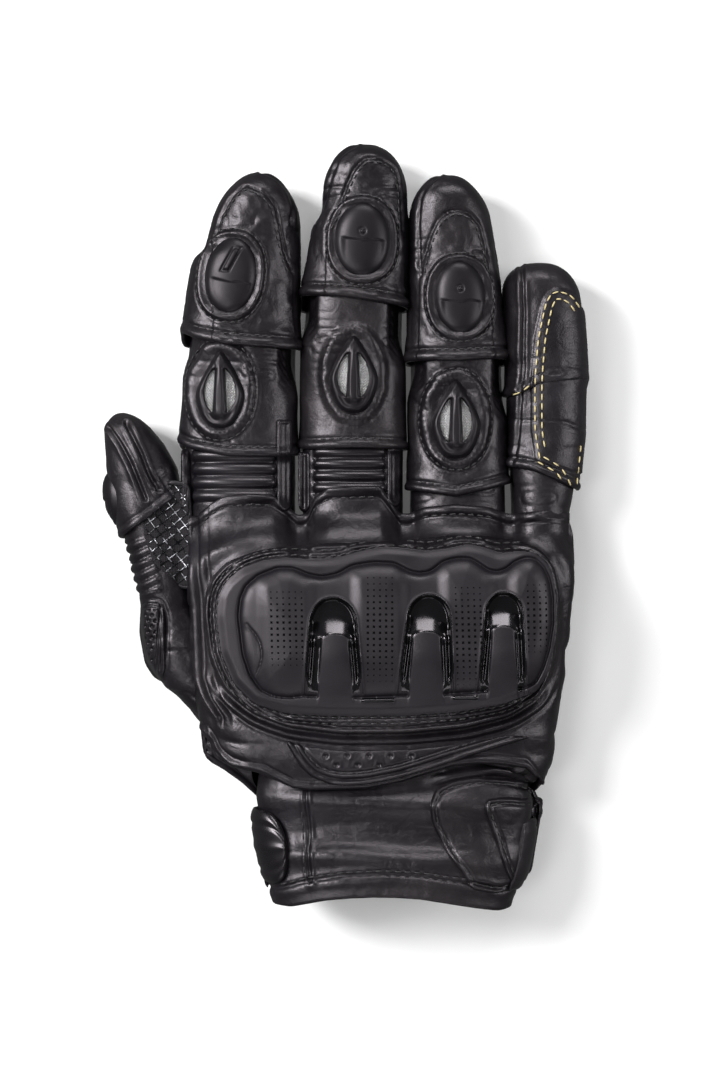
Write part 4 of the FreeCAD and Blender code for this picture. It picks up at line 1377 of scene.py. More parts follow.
def build_foam_edge():
    """Foam that shows as a thin dark layer all round under the moulding's rim."""
    rim, out = guard_rim(1.2)
    rows = [(0.0, HAND_TOP - 0.6), (0.4, HAND_TOP + 0.6), (0.2, HAND_TOP + 1.6), (-1.2, HAND_TOP + 2.2)]
    verts = np.stack([np.column_stack([rim + out * a, np.full(len(rim), z)]) for a, z in rows])
    return new_object("guard_foam_layer", verts, grid_faces(len(rows), len(rim), True), FOAM)


welt = ride(build_welt(), "hand", "leather", "guard_welt")
guard = ride(build_guard(), "hand", "guard_plastic", "guard_shell", "guard_channel_inserts")
ride(build_dots(tree_of(guard)), "hand", "guard_plastic")
foam = ride(build_foam_edge(), "hand", "foam", "guard_foam")


# ---------------------------------------------------------------- sliders and vents


def form_tree(tube):
    """Ray-casting tree of a finger's bare form, which its hard parts sit on."""
    y = np.linspace(tube.y[0], tube.tip[0] - 1, 120)
    p = tube.points(y)
    return BVHTree.FromPolygons(p.reshape(-1, 3).tolist(), grid_faces(*p.shape[:2], True).tolist())


def slider_height(name, x, y):
    """Height of the hard oval over a finger's tip joint."""
    sx, sy = SLIDER_AT[name]
    lean = math.radians(SLIDER_SIZE[name][2])
    u = (x - sx) * math.cos(lean) - (y - sy) * math.sin(lean)
    v = (x - sx) * math.sin(lean) + (y - sy) * math.cos(lean)
    half_x, half_y = SLIDER_SIZE[name][:2]
    r = np.sqrt((u / half_x) ** 2 + (v / half_y) ** 2)
    h = 0.2 + 2.3 * np.clip(1 - r**6.0, 0, 1) ** 0.6 + 0.4 * np.clip(1 - r**2, 0, 1)
    inside = smoothstep(0.97, 0.72, r)
    # an S-shaped step over a flatter facet
    at = {"index": -1.8, "middle": 0.2, "ring": -1.1}[name] - 0.16 * u + 0.5 * np.tanh(u - 1.5)
    cut = smoothstep(0.45, -0.45, v - at)
    depth = cut * inside * (0.6 - 0.05 * np.clip(-v, 0, 9))
    h = h - depth * smoothstep(half_x * 0.85, half_x * 0.6, np.abs(u - 0.4))
    if name == "index":
        axis = u - 0.42 * (v - 5.0) + 0.2
        slot = smoothstep(1.0, 0.6, np.abs(axis)) * smoothstep(8.6, 7.6, v) * smoothstep(0.9, 1.9, v)
        moat = smoothstep(1.9, 1.2, np.abs(axis)) * smoothstep(9.2, 8.0, v) * smoothstep(0.3, 1.3, v)
        h = h + 0.55 * slot - 0.45 * (moat - slot)
    else:
        dot = np.hypot(u - 0.1, v - 2.5)
        h = h + 0.4 * smoothstep(0.8, 0.35, dot) - 0.3 * bump(dot - 1.0, 0.3)
    return h


def teardrop(vx, vy, wide, tall):
    """Outline of a vent: pointed above, widest just below the middle, and blunt underneath."""
    side = [
        (0.0, 1.0), (0.20, 0.88), (0.46, 0.60), (0.74, 0.28), (0.96, 0.0), (1.0, -0.16), (0.93, -0.40),
        (0.78, -0.66), (0.56, -0.88), (0.30, -0.985), (0.0, -1.0),
    ]
    half = [(vx + a * wide, vy + b * tall) for a, b in side]
    other = [(2 * vx - a, b) for a, b in reversed(half[1:-1])]
    return smooth_loop(half + other, 0.5, softness=4)


def vent_slots(name, x, y):
    """Distance inside the two mesh windows of a vent."""
    vx, vy = VENT_AT[name]
    best = np.full(np.shape(x), -99.0)
    for side in (-1, 1):
        u, v = (x - vx) * side, y - vy
        inner = 1.45 + 0.05 * (6.5 - v)
        wide = 3.2 * np.clip(1 - ((v + 0.4) / 6.9) ** 2, 0, 1) ** 0.75
        inside = np.where(np.abs(v + 0.4) < 6.9, np.minimum(u - inner, inner + wide - u), -1.0)
        best = np.maximum(best, inside)
    return best


def vent_height(name, x, y, d):
    """Height of a vent's moulding, which is cut low in its two windows."""
    vx, vy = VENT_AT[name]
    u, v = x - vx, y - vy
    h = 0.3 + 2.3 * (1 - np.exp(-d / 1.5)) + 0.7 * smoothstep(0, 6, d)
    # raised rim, a dished lower end with a boss, and a keel between the windows
    h = h + 0.45 * bump(d - 1.3, 0.8) - 0.55 * bump(d - 2.9, 0.9) * smoothstep(-5, -8, v)
    h = h + 0.35 * smoothstep(1.7, 0.9, np.abs(u)) * smoothstep(-9, -6, v) * smoothstep(10, 7, v)
    h = h + 0.5 * np.exp(-(np.hypot(u, v + 8.6) ** 2) / 5.0)
    s = vent_slots(name, x, y)
    h = h - 0.35 * smoothstep(-1.1, -0.2, s) * (s < 0.3)
    return h * (1 - smoothstep(-0.12, 0.22, s)) + 0.25 * smoothstep(-0.12, 0.22, s)


def diagonal_lines(cx, cy, reach, pitch, step):
    """Two crossing sets of straight lines: direction, place across, positions along, and the points."""
    for turn in (math.radians(38), math.radians(-52)):
        c, s = math.cos(turn), math.sin(turn)
        run = np.arange(-reach, reach, step)
        for k in np.arange(-reach, reach, pitch):
            yield turn, k, run, cx + run * c - k * s, cy + run * s + k * c


def build_vent_mesh(name, tree):
    """Woven steel behind a vent's windows."""
    paths = []
    pitch = 0.62
    for turn, k, run, x, y in diagonal_lines(*VENT_AT[name], 13.5, pitch, 0.2):
        for a, b in true_runs(vent_slots(name, x, y) > -0.25):
            if b - a < 4:
                continue
            wave = 0.11 * np.sin(run[a:b] / pitch * math.pi + (k / pitch) * math.pi)
            base = drop(tree, [x[a], x[b - 1]], [y[a], y[b - 1]])
            z = np.linspace(*base, b - a) + 0.9 + wave * (1 if turn > 0 else -1)
            paths.append(np.stack([x[a:b], y[a:b], z], axis=1))
    return cords(name + "_wire_mesh", paths, 0.13, STEEL, 4)


for _name in FINGER_NAMES[:3]:
    form = form_tree(BASE[_name])
    a, b, lean = SLIDER_SIZE[_name]
    oval = ellipse(*SLIDER_AT[_name], a, b, lean, 72, 2.15)
    height = lambda x, y, d, k=_name: slider_height(k, x, y) + 0.7
    piece = relief_patch(_name + "_slider_cap", form, oval, height, SLIDER, step=0.28, sink=0.4)
    ride(piece, _name + "_upper", "slider_plastic", _name + "_slider")
    drop_shape = teardrop(*VENT_AT[_name], 8.0, 12.4)
    height = lambda x, y, d, k=_name: vent_height(k, x, y, d) + 0.3
    vent = relief_patch(_name + "_vent_moulding", form, drop_shape, height, SLIDER, step=0.24, sink=0.4)
    ride(vent, _name + "_lower", "slider_plastic", _name + "_vent_cap")
    ride(build_vent_mesh(_name, form), _name + "_lower", "wire_mesh", _name + "_vent_mesh")


# ---------------------------------------------------------------- thumb

THUMB_ROWS = [
    (-46, 14.0, 26, 9.0, 15.0),
    (-42, 10.2, 26, 5.0, 19.0),
    (-38.6, 7.4, 26, 2.4, 21.5),
    (-34.5, 5.2, 26, FLOOR, 22.5),
    (-30, 1.8, 25, FLOOR, 22.5),
    (-27.6, -1.2, 23, FLOOR, 22.6),
    (-22, -4.4, 20, FLOOR, 22.8),
    (-17.7, -6.0, 18, FLOOR, 23.0),
    (-10, -6.6, 14.5, FLOOR, 23.0),
    (-3, -6.1, 11.6, FLOOR, 22.6),
    (3.6, -5.6, 10.8, FLOOR, 22.5),
    (16, -7.4, 10.8, FLOOR, 22.5),
    (23, -8.9, 10.8, FLOOR, 22.5),
    (31, -10.9, 10.8, FLOOR, 22.5),
    (41, -10.6, 10.4, FLOOR, 22.3),
    (49, -10.3, 7.4, FLOOR + 0.3, 21.6),
    (55, -9.8, 3.4, FLOOR + 0.6, 20.6),
    (60.6, -8.8, -0.6, FLOOR + 1.2, 19.6),
]
THUMB = Tube(THUMB_ROWS, around=170, power=(2.5, 2.8), tip=(60.6, 6.5, 9.0, 2.2), soft=5, turn=on_thumb)
THUMB_PAD = [
    (-65.6, -25.5), (-62, -23.6), (-58.0, -24.2), (-56.4, -29), (-56.6, -38), (-56.6, -45), (-58.4, -50),
    (-61.5, -48.5), (-64.4, -44), (-66.2, -34),
]
THUMB_HEM = curve_of([(-14, 20.0), (-8.5, 21.8), (-0.9, 25.6), (6, 30.0), (11, 33.3), (14, 34.5)], 6)
THUMB_SEAMS = [
    thumb_path(s)
    for s in (
        [(-74.7, 30.5), (-70.8, 25), (-67.5, 19), (-65.3, 13.7), (-63, 8.0)],
        [(-69.2, 31.8), (-66.5, 26.5), (-64, 21.5), (-61.8, 15.6), (-59, 11)],
    )
]


def thumb_upper_relief(p, n):
    u, v = to_thumb(p)
    up = up_weight(n)
    h = skin(p, 0.22, 6.0)
    for seam in THUMB_SEAMS:
        h = h + up * groove(u, v, smooth_line(seam), 0.6, 0.9, 0.5)
    between = bump(u - 0.18 * (v - 30) + 3.0, 3.0)
    h = h + up * 0.5 * between * smoothstep(20, 30, v)
    h = h - up * 0.45 * creases(p + 60, (5, 2.4, 6), 6.0) * smoothstep(46, 34, v) * smoothstep(-2, 4, u)
    from_hem = v - THUMB_HEM(u)
    return (
        h + 0.8 * np.exp(-np.maximum(from_hem, 0) / 4.0) + up * 0.4 * bump(from_hem - 1.0, 1.1)
        - up * 0.3 * bump(from_hem - 2.6, 0.5)
    )


def thumb_ribs(h, u, v, zone, depth):
    """Stretch ribs over the thumb's outer side, in place of the relief h."""
    phase = (v - 0.35 * u) / 3.3
    return h * (1 - zone) + zone * (1.1 * np.abs(np.cos(math.pi * phase)) ** 0.8 - depth)


def thumb_lower_relief(p, n):
    u, v = to_thumb(p)
    zone = (
        smoothstep(2.0, 0.5, u) * smoothstep(1.0, 3.0, v) * smoothstep(21, 19, v)
        * smoothstep(-0.5, 0.2, n[..., 2])
    )
    return thumb_ribs(skin(p, 0.2, 6.0), u, v, zone, 0.35)


def thumb_root_relief(p, n):
    u, v = to_thumb(p)
    up = up_weight(n)
    zone = smoothstep(3.0, 1.0, u) * smoothstep(2.2, 4.2, v) * smoothstep(-0.5, 0.2, n[..., 2])
    h = thumb_ribs(skin(p, 0.25, 7.0), u, v, zone, 0.3)
    d = inside_distance(u, v, smooth_loop(thumb_path(THUMB_PAD), 0.8))
    h = h - up * 0.5 * bump(d + 0.5, 0.7)
    return h - 0.5 * up * creases(p + 44, (9, 3.2, 8), 6.0) * smoothstep(-1, -8, v)


def thumb_fold(at):
    """Start and end of the fold at a thumb joint, in metres."""
    reach = np.append(THUMB_V * THUMB_REACH, 0)
    return (at - reach) * MM, (at + reach) * MM


THUMB_BASE_FOLD, THUMB_TIP_FOLD = thumb_fold(THUMB_ROOT), thumb_fold(THUMB_IP)
rows = hem_rows(THUMB, -1.0, 37.0, -1.0, 28.0, 0.5)
thumb_lower = sleeve("thumb_lower_leather", THUMB, rows, LEATHER, thumb_lower_relief, -0.3)
rows = hem_rows(THUMB, -45.0, 13.0, -45.0, 13.0, 0.5)
thumb_root = sleeve("thumb_root_leather", THUMB, rows, LEATHER, thumb_root_relief, hem=(0, 0.9))
rows = tip_rows(THUMB, THUMB_HEM, 21.5, 0.5)
thumb_upper = sleeve("thumb_upper_leather", THUMB, rows, LEATHER, thumb_upper_relief, 0.5, hem=(1.0, 0))
blend(thumb_root, "hand", "thumb_lower", *THUMB_BASE_FOLD, "leather")
nodes = "thumb_lower_sleeve", "thumb_stretch_ribs"
blend(thumb_lower, "thumb_lower", "thumb_upper", *THUMB_TIP_FOLD, "leather", *nodes)
blend(thumb_upper, "thumb_lower", "thumb_upper", *THUMB_TIP_FOLD, "leather", "thumb_upper_sleeve")


MESH_PANEL = [
    (-56, 13.5), (-50.0, 12.5), (-48.8, -4), (-49.2, -19.8),
    (-52.6, -19.0), (-60.6, -12.0), (-63.8, -3), (-63.6, 5),
]


def build_mesh_panel():
    """Woven panel between the thumb and the hand: a dark cloth under a diagonal grid of bright threads."""
    outline = smooth_loop(MESH_PANEL, 1.0)
    tree = tree_of(thumb_root, thumb_lower, hand)
    height = lambda x, y, d: 0.9 + 0.35 * flat_noise(x, y, 3.0)
    base = relief_patch("thumb_mesh_cloth", tree, outline, height, MESH_CLOTH, step=0.4, sink=0.8, calm=50)
    cloth = tree_of(base)
    paths = []
    pitch = 2.55
    for turn, k, run, x, y in diagonal_lines(-56.5, -3.5, 24, pitch, 0.3):
        x = x + 0.25 * flat_noise(x, y, 4.0, k)
        for a, b in true_runs(inside_distance(x, y, outline) > 0.6):
            if b - a >= 5:
                px, py = x[a:b], y[a:b]
                z = drop(cloth, px, py) + 0.16 + 0.05 * np.sin(run[a:b] / pitch * math.pi)
                paths.append(np.stack([px, py, z + 0.2 * flat_noise(px, py, 2.6, turn)], axis=1))
    grid = cords("thumb_mesh_threads", paths, 0.17, SILVER, 5)
    ring = closed_ring(outline)
    z = drop(cloth, ring[:, 0], ring[:, 1])
    for _ in range(4):
        z = (np.roll(z, 1) + 2 * z + np.roll(z, -1)) / 4
    return base, grid, cords("thumb_mesh_hem", [np.column_stack([ring, z + 0.3])], 0.8, LEATHER_DARK, 8)


def build_thumb_pad():
    """Perforated leather pad over the thumb's base."""
    outline = smooth_loop(THUMB_PAD, 0.8)

    def height(x, y, d):
        h = 0.9 * (1 - np.exp(-d / 0.8)) + 0.5 * smoothstep(0, 4, d) - 0.4 * bump(d - 1.5, 0.35)
        h = h + 0.2 * bump(d - 0.7, 0.5)
        # rows of punched holes over the outer half
        across, along, pitch, row_pitch = x + 62, y + 37, 2.1, 1.75
        seam = -59.2 + 0.09 * along
        row = np.round(along / row_pitch)
        column = np.round(across / pitch - 0.5 * (row % 2))
        r = np.hypot(across - pitch * (column + 0.5 * (row % 2)), along - row_pitch * row)
        open_area = smoothstep(2.2, 3.0, d) * (x < seam - 1.0)
        h = h - 0.9 * smoothstep(0.75, 0.35, r) * open_area
        return h - 0.6 * bump(x - seam, 0.4) + 0.3 * bump(x - seam - 0.9, 0.5)

    name, how = "thumb_base_pad_leather", {"step": 0.26, "sink": 0.5, "fallback": 9.0, "calm": 8}
    return relief_patch(name, tree_of(thumb_root), outline, height, LEATHER, **how)


mesh_base, mesh_grid, mesh_hem = build_mesh_panel()
thumb_pad = build_thumb_pad()
blend(thumb_pad, "hand", "thumb_lower", *THUMB_BASE_FOLD, "leather", "thumb_base_pad")
blend(mesh_base, "hand", "thumb_lower", *THUMB_BASE_FOLD, "mesh_fabric", "thumb_mesh_panel")
blend(mesh_grid, "hand", "thumb_lower", *THUMB_BASE_FOLD, "mesh_fabric")
blend(mesh_hem, "hand", "thumb_lower", *THUMB_BASE_FOLD, "leather")


def build_thumb_slider():
    """Hard oval on the thumb's outer side, standing off the leather."""
    low, high = box_mm("thumb_slider")
    centre = (low + high) / 2
    v0 = to_thumb(centre)[1]
    gv, gz = np.meshgrid(np.linspace(-1, 1, 46), np.linspace(-1, 1, 34), indexing="ij")
    # square to disc, so that the rim is an even oval
    dv, dz = gv * np.sqrt(1 - gz**2 / 2), gz * np.sqrt(1 - gv**2 / 2)
    r = np.sqrt(dv**2 + dz**2)
    v = v0 + dv * 9.0
    z = centre[2] + 1.6 + dz * 7.0
    left = np.interp(v, THUMB.y, THUMB.rows[0])
    fall = 2.6 * ((z - 11.5) / 10.5) ** 2
    out = 3.2 * np.clip(1 - r**3, 0, 1) ** 0.6 - 0.6 - 0.5 * smoothstep(0.4, -0.1, v - v0) * (r < 0.8)
    p = on_thumb(np.stack([left - out + fall, v, z], axis=-1))
    return weld(new_object("thumb_slider_cap", p, grid_faces(*p.shape[:2], False), SLIDER))


ride(build_thumb_slider(), "thumb_upper", "slider_plastic", "thumb_slider")

# ---------------------------------------------------------------- cuff and strap

CUFF_ROWS = [
    (-121.2, -22.6, 50.6, 4.0, 35.4),
    (-116, -23.5, 51.6, 4.2, 35.2),
    (-108, -24.6, 54.4, 4.4, 34.6),
    (-100, -26.0, 56.4, 4.4, 33.6),
    (-92, -27.6, 57.6, 4.4, 32.8),
    (-86, -28.6, 57.4, 4.4, 32.4),
    (-80, -27.8, 56.0, 5.2, 31.2),
    (-74, -26.8, 55.5, 6.6, 31.4),
    (-66, -30.0, 56.0, 7.0, 31.0),
    (-62, -31.0, 56.0, 7.5, 29.0),
]
CUFF = Tube(CUFF_ROWS, around=400, power=(2.6, 2.8), soft=10)
CUFF_END = curve_of([
    (-30, -117.2), (-23, -117.6), (-18, -117.6), (-12, -116.2), (-6.8, -115.1), (0, -114.4),
    (7.7, -114.0), (15, -114.1), (22.6, -114.6), (30.3, -115.9), (40.6, -117.8),
    (47.4, -119.0), (52, -118.6), (60, -117),
])
HEM_LINE = curve_of([
    (-30, -113.2), (-23, -113.0), (-12.2, -109.7), (-1.3, -107.9), (11.4, -107.3),
    (22.6, -107.9), (28.6, -108.9), (42.3, -110.9), (47, -112.5), (60, -112),
])
ROOT_PATCH = [
    (57.7, -80.6), (50.9, -78.6), (40.6, -77.7), (32, -79.0), (27.2, -81.2), (25.2, -86.1), (25.9, -92),
    (30.3, -100.8), (35.8, -108.0), (38, -112.2), (46, -114.2), (53, -112.6), (58, -100), (62, -90),
]
INNER_PATCH = [
    (42.6, -84.4), (42.2, -88.5), (45.7, -97.4), (49.1, -107.4), (51.6, -112), (58, -110), (60, -98),
    (62, -86), (50, -84),
]
CUFF_ROLL = [(22, -80.2), (32, -77.6), (40, -76.4), (46, -75.8), (52, -77.0), (58, -80.2)]


def cuff_relief(p, n):
    """The band with its hem, a seam near the thumb's side, swells across it, and a roll over its end."""
    x, y = p[..., 0], p[..., 1]
    up = up_weight(n)
    h = skin(p, 0.24, 8.0)
    d = y - HEM_LINE(x)
    hem_top = profile(d, (-0.8, 0, 0.55), (0.5, -2.0, 1.6), (0.3, 1.4, 0.9))
    h = h + hem_top * (0.35 + 0.65 * up)
    h = h + up * groove(x, y, [(-12.6, -78), (-12.4, -88), (-11.9, -98), (-11.5, -110)], 0.5, 0.7, 0.35)
    # long swells across the band, with fine wrinkles in the valley between them
    wave = y + 0.8 * noise(p + 3, 20) + 0.03 * (x - 8)
    swell = profile(wave, (0.9, -86, 3.0), (-1.0, -95.5, 4.5), (1.0, -102.5, 3.2))
    middle = smoothstep(-26, -8, x) * (1 - smoothstep(28, 44, x))
    h = h + up * swell * (0.5 + 1.1 * middle)
    wrinkle = noise(p * np.array([0.16, 1.5, 1.0]) + 21, 1.9)
    h = h + up * 0.3 * wrinkle * middle * bump(wave + 96, 5.0)
    roll = line_distance(x, y, smooth_line(CUFF_ROLL, 1.0))
    h = h + up * smoothstep(22, 34, x) * (1.5 * bump(roll, 1.3) - 0.6 * bump(roll - 2.2, 0.6) * (y < -76))
    side = 1 - smoothstep(0.1, 0.6, np.abs(n[..., 2]))
    h = h + side * 0.5 * noise(p + 51, (10, 7, 8))
    return h


rows = hem_rows(CUFF, CUFF_END, -64.0, -114.4, -76.0, 0.6)
cuff = sleeve("cuff_leather", CUFF, rows, LEATHER, cuff_relief, hem=(1.1, 0))
blend(cuff, "hand", "cuff", *WRIST_FOLD, "leather", "cuff_band", "cuff_binding")
CUFF_TREE = tree_of(cuff)

LINING_ROWS = [
    (-119.5, -20.5, 48.6, 6.2, 33.0),
    (-100, -23.2, 53.4, 6.6, 31.2),
    (-86, -25.8, 54.6, 6.6, 30.0),
    (-72, -24, 52, 8.6, 28.6),
    (-55, -30, 50, 8, 28),
    (-30, -30, 50, 8, 28),
]


def build_cuff_lining():
    """The lining seen in the wrist opening. It closes inside the hand."""
    tube = Tube(LINING_ROWS, around=160, power=(2.6, 2.8), soft=6)
    p = tube.points(np.arange(-112.8, -44, 1.2))
    p = p + noise(p, 9.0)[..., None] * np.array([0.5, 0, 0.5])
    end = p[-1].mean(axis=0)
    for s in (0.7, 0.35, 0.02):
        p = np.concatenate([p, (end + (p[-1] - end) * s + np.array([0, 2.0, 0]))[None]])
    return new_object("cuff_inner_lining", p, grid_faces(*p.shape[:2], True), LINING)


blend(build_cuff_lining(), "hand", "cuff", *WRIST_FOLD, "lining", "cuff_lining")


def strap_patch(name, tree, outline, tall, leather_kind):
    """Leather patch on the cuff, with a raised rim and a stitched groove inside it."""

    def height(x, y, d):
        h = tall * (1 - np.exp(-d / 0.8)) + profile(d, (0.55, 0.9, 0.6), (-0.65, 1.9, 0.5))
        return h + 0.12 * flat_noise(x, y, 4.0)

    outline = smooth_loop(outline, 1.0)
    return relief_patch(name, tree, outline, height, leather_kind, step=0.42, sink=0.4, fallback=14.0)


root_patch = strap_patch("strap_root_leather", CUFF_TREE, ROOT_PATCH, 1.5, LEATHER)
ride(root_patch, "cuff", "leather", "strap_root_patch")
ROOT_TREE = tree_of(root_patch)
inner_patch = strap_patch("strap_root_inner_leather", ROOT_TREE, INNER_PATCH, 1.1, LEATHER_SATIN)
ride(inner_patch, "cuff", "leather")


def wrap_band(name, y0, y1, first, last, out, thick, mat, relief, round_end=0.0):
    """Flat band round the cuff with both faces and rounded edges, standing out from it.

    first and last are where it starts and ends round the cuff, in turns: the underside is 0, the little
    finger's side 0.25, the back 0.5 and the thumb's side 0.75. round_end is the share of the length in which
    the first end rounds off. relief(points, across, along) is added to the outer face.
    """
    grid = CUFF.points(np.arange(y0, y1 + 0.01, 0.8))
    n = outward_normals(grid)
    columns = len(CUFF.c)
    picked = np.arange(int(first * columns), int(last * columns) + 1) % columns
    g, m = grid[:, picked], n[:, picked]
    rows, columns = g.shape[:2]
    across = np.linspace(-1, 1, rows)[:, None]
    along = np.linspace(0, 1, columns)[None, :]
    if round_end:
        shrink = np.sqrt(np.clip(1 - np.clip((round_end - along) / round_end, 0, 1) ** 2.4, 0.0, 1))
        mid = g[rows // 2]
        g = mid[None] + (g - mid[None]) * shrink[..., None]
    h = out + thick * (1 - 0.75 * np.abs(across) ** 6) + relief(g, across, along)
    loop = np.concatenate([g + m * h[..., None], (g + m * out)[::-1]], axis=0)
    faces = grid_faces(2 * rows, columns, False).tolist()
    last_row = (2 * rows - 1) * columns
    faces += [[last_row + c, last_row + c + 1, c + 1, c] for c in range(columns - 1)]
    for c in (0, columns - 1):
        ring = [r * columns + c for r in range(2 * rows)]
        faces.append(ring if c else ring[::-1])
    return weld(new_object(name, loop, faces, mat), 0.01)


def strap_relief(g, across, along):
    return 0.15 * noise(g, 5.0) - 0.35 * bump(np.abs(across) - 0.80, 0.05)


def tab_relief(g, across, along):
    return -0.5 * bump(np.abs(across) - 0.62, 0.07) + 0.4 * bump(across, 0.12)


strap = wrap_band("wrist_strap_leather", -113.0, -91.0, -0.20, 0.235, 0.9, 1.5, LEATHER, strap_relief)
ride(strap, "strap", "leather", "wrist_strap")
tab = wrap_band("strap_pull_tab_moulding", -111.0, -88.5, -0.262, -0.13, 1.0, 2.0, TAB, tab_relief, 0.28)
ride(tab, "strap", "slider_plastic", "strap_pull_tab")
hooks = lambda g, across, along: 0.18 * noise(g, 0.9)
hook = wrap_band("strap_hook_strip", -110.5, -93.5, -0.17, 0.05, 0.6, 0.7, HOOK, hooks)
ride(hook, "strap", "hook_loop", "hook_patch")
loops = lambda g, across, along: 0.15 * noise(g, 0.8)
loop = wrap_band("cuff_loop_strip", -111.5, -92.5, -0.17, 0.12, 0.05, 0.5, HOOK, loops)
ride(loop, "cuff", "hook_loop", "loop_patch", "cuff_gusset")

# ---------------------------------------------------------------- wrist vent panel, palm pieces


def vent_holes():
    """Centres of the perforations between the vent panel's hem and its lower edge."""
    rows = [(-6.5 + col * 6.6 + (row % 2) * 3.3, -71.0 - 2.7 * row) for row in range(3) for col in range(9)]
    x, y = np.array(rows).T
    clear = (inside_distance(x, y, VENT_PANEL) > 1.6) & (line_distance(x, y, VENT_HEM) > 5.2)
    return [at for at, ok in zip(rows, clear) if ok]


def vent_panel_height(x, y, d):
    """Two ridges along the panel's hem, and the perforations above them."""
    e = line_distance(x, y, smooth_line(VENT_HEM, 1.0))
    h = 0.9 * (1 - np.exp(-d / 0.9)) + 0.12 * flat_noise(x, y, 4.0)
    for at, width, tall in ((0.9, 0.85, 1.1), (2.1, 0.35, -0.3), (3.0, 0.7, 0.95), (4.2, 0.5, -0.5)):
        h = h + tall * bump(e - at, width)
    for cx, cy in vent_holes():
        r = np.hypot(x - cx, y - cy)
        h = h + profile(r, (-0.9, 0, 0.62), (0.15, 1.1, 0.4))
    return h


outline = smooth_loop(VENT_PANEL, 1.0)
vent_name = "wrist_vent_leather"
vent_panel = relief_patch(vent_name, HAND_TREE, outline, vent_panel_height, LEATHER, step=0.36, sink=0.4)
blend(vent_panel, "hand", "cuff", *WRIST_FOLD, "leather", "wrist_vent_panel")


def palm_piece(name, outline, tall, cad_node):
    """Panel on the palm, which faces down."""
    outline = smooth_loop(outline, 1.2)
    x, y, d, keep, quads, corners = plan_grid(outline, outline.min(0) - 0.6, outline.max(0) + 0.6, 0.7)
    h = tall * (1 - np.exp(-d / 0.7)) + 0.05 * flat_noise(x, y, 3.0) - 0.3 * bump(d - 2.0, 0.5)
    z = FLOOR + np.where(d <= 0, 1.0, -np.minimum(h, FLOOR - 0.02))
    obj = new_object(name, np.stack([x, y, z], axis=-1)[keep], corners[quads][:, ::-1], LEATHER_PALM)
    return ride(obj, "hand", "palm_leather", cad_node)


(x0, y0, _), (x1, y1, _) = box_mm("palm_patch")
left, right = [(x0 + 3, y1 - 3), (x0, y0 + 10), (x0 + 8, y0)], [(x1 - 10, y0), (x1, y0 + 8), (x1 - 2, y1 - 2)]
palm_piece("palm_patch_leather", left + right + [(x1 - 20, y1), (x0 + 16, y1)], 0.95, "palm_patch")
(x0, y0, _), (x1, y1, _) = box_mm("heel_pad")
left, right = [(x0, y0 + 8), (x0 + 8, y0)], [(x1 - 8, y0 + 1), (x1, y0 + 9), (x1, y1 - 8), (x1 - 8, y1)]
heel_pad = palm_piece("heel_pad_leather", left + right + [(x0 + 9, y1), (x0 + 1, y1 - 8)], 1.0, "heel_pad")

# ---------------------------------------------------------------- stitching


def offset(path, by):
    """Path moved sideways, to the left of its direction."""
    t = unit(np.gradient(np.asarray(path, float), axis=0))
    return path + np.stack([-t[:, 1], t[:, 0]], axis=1) * by


def along_curve(curve, x0, x1, up):
    """Path that follows a curve y(x), moved up."""
    x = np.arange(x0, x1, 0.8)
    return np.stack([x, curve(x) + up], axis=1)


def sewn_ring(at, half_x, half_y, lean, power):
    """Path of the stitching round an oval."""
    return closed_ring(ellipse(*at, half_x, half_y, lean, 90, power))


for _name, (knuckle, lower, upper) in SKINS.items():
    lower_hem, upper_hem = (curve_of(h) for h in HEMS[_name])
    left, right = (float(np.interp(50, BASE[_name].y, r)) for r in BASE[_name].rows[:2])
    low_paths = [along_curve(lower_hem, left + 3.5, right - 3.5, 2.6)]
    high_paths = [along_curve(upper_hem, left + 3.5, right - (14 if _name == "little" else 3.5), 3.1)]
    if _name in ARCHES:
        a, b, lean = RING_SIZE[_name]
        high_paths.append(sewn_ring(SLIDER_AT[_name], a + 0.4, b + 0.4, lean, 2.3))
        high_paths.append(offset(smooth_line(ARCHES[_name]), -1.4))
        if _name != "middle":
            low_paths.append(sewn_ring(VENT_AT[_name], 11.4, 15.8, 0, 2.1))
    rows = [
        thread(f"{_name}_lower_stitching", tree_of(lower), low_paths, THREAD, 1.7, 0.7, 0.42),
        thread(f"{_name}_upper_stitching", tree_of(upper), high_paths, THREAD, 1.7, 0.7, 0.42),
    ]
    if _name == "little":
        outer = smooth_line(LITTLE_PANEL)
        paths = [
            offset(outer, -1.3), offset(outer[int(len(outer) * 0.05) :], -3.4), [(73, 25.4), (71.6, 12.0)],
        ]
        paths[2:2] = [smooth_line(p) for p in CREAM_TURNS]
        paths.append(smooth_line([(51, 40.4), (53.8, 40.9), (57, 43.6)]))
        rows.append(thread("little_cream_stitching", tree_of(lower, upper), paths, CREAM, 2.1, 0.8, 0.5, 0.2))
    for stitches in rows:
        blend(stitches, _name + "_lower", _name + "_upper", *fold_ends(_name, FOLD[_name][1]), "leather")

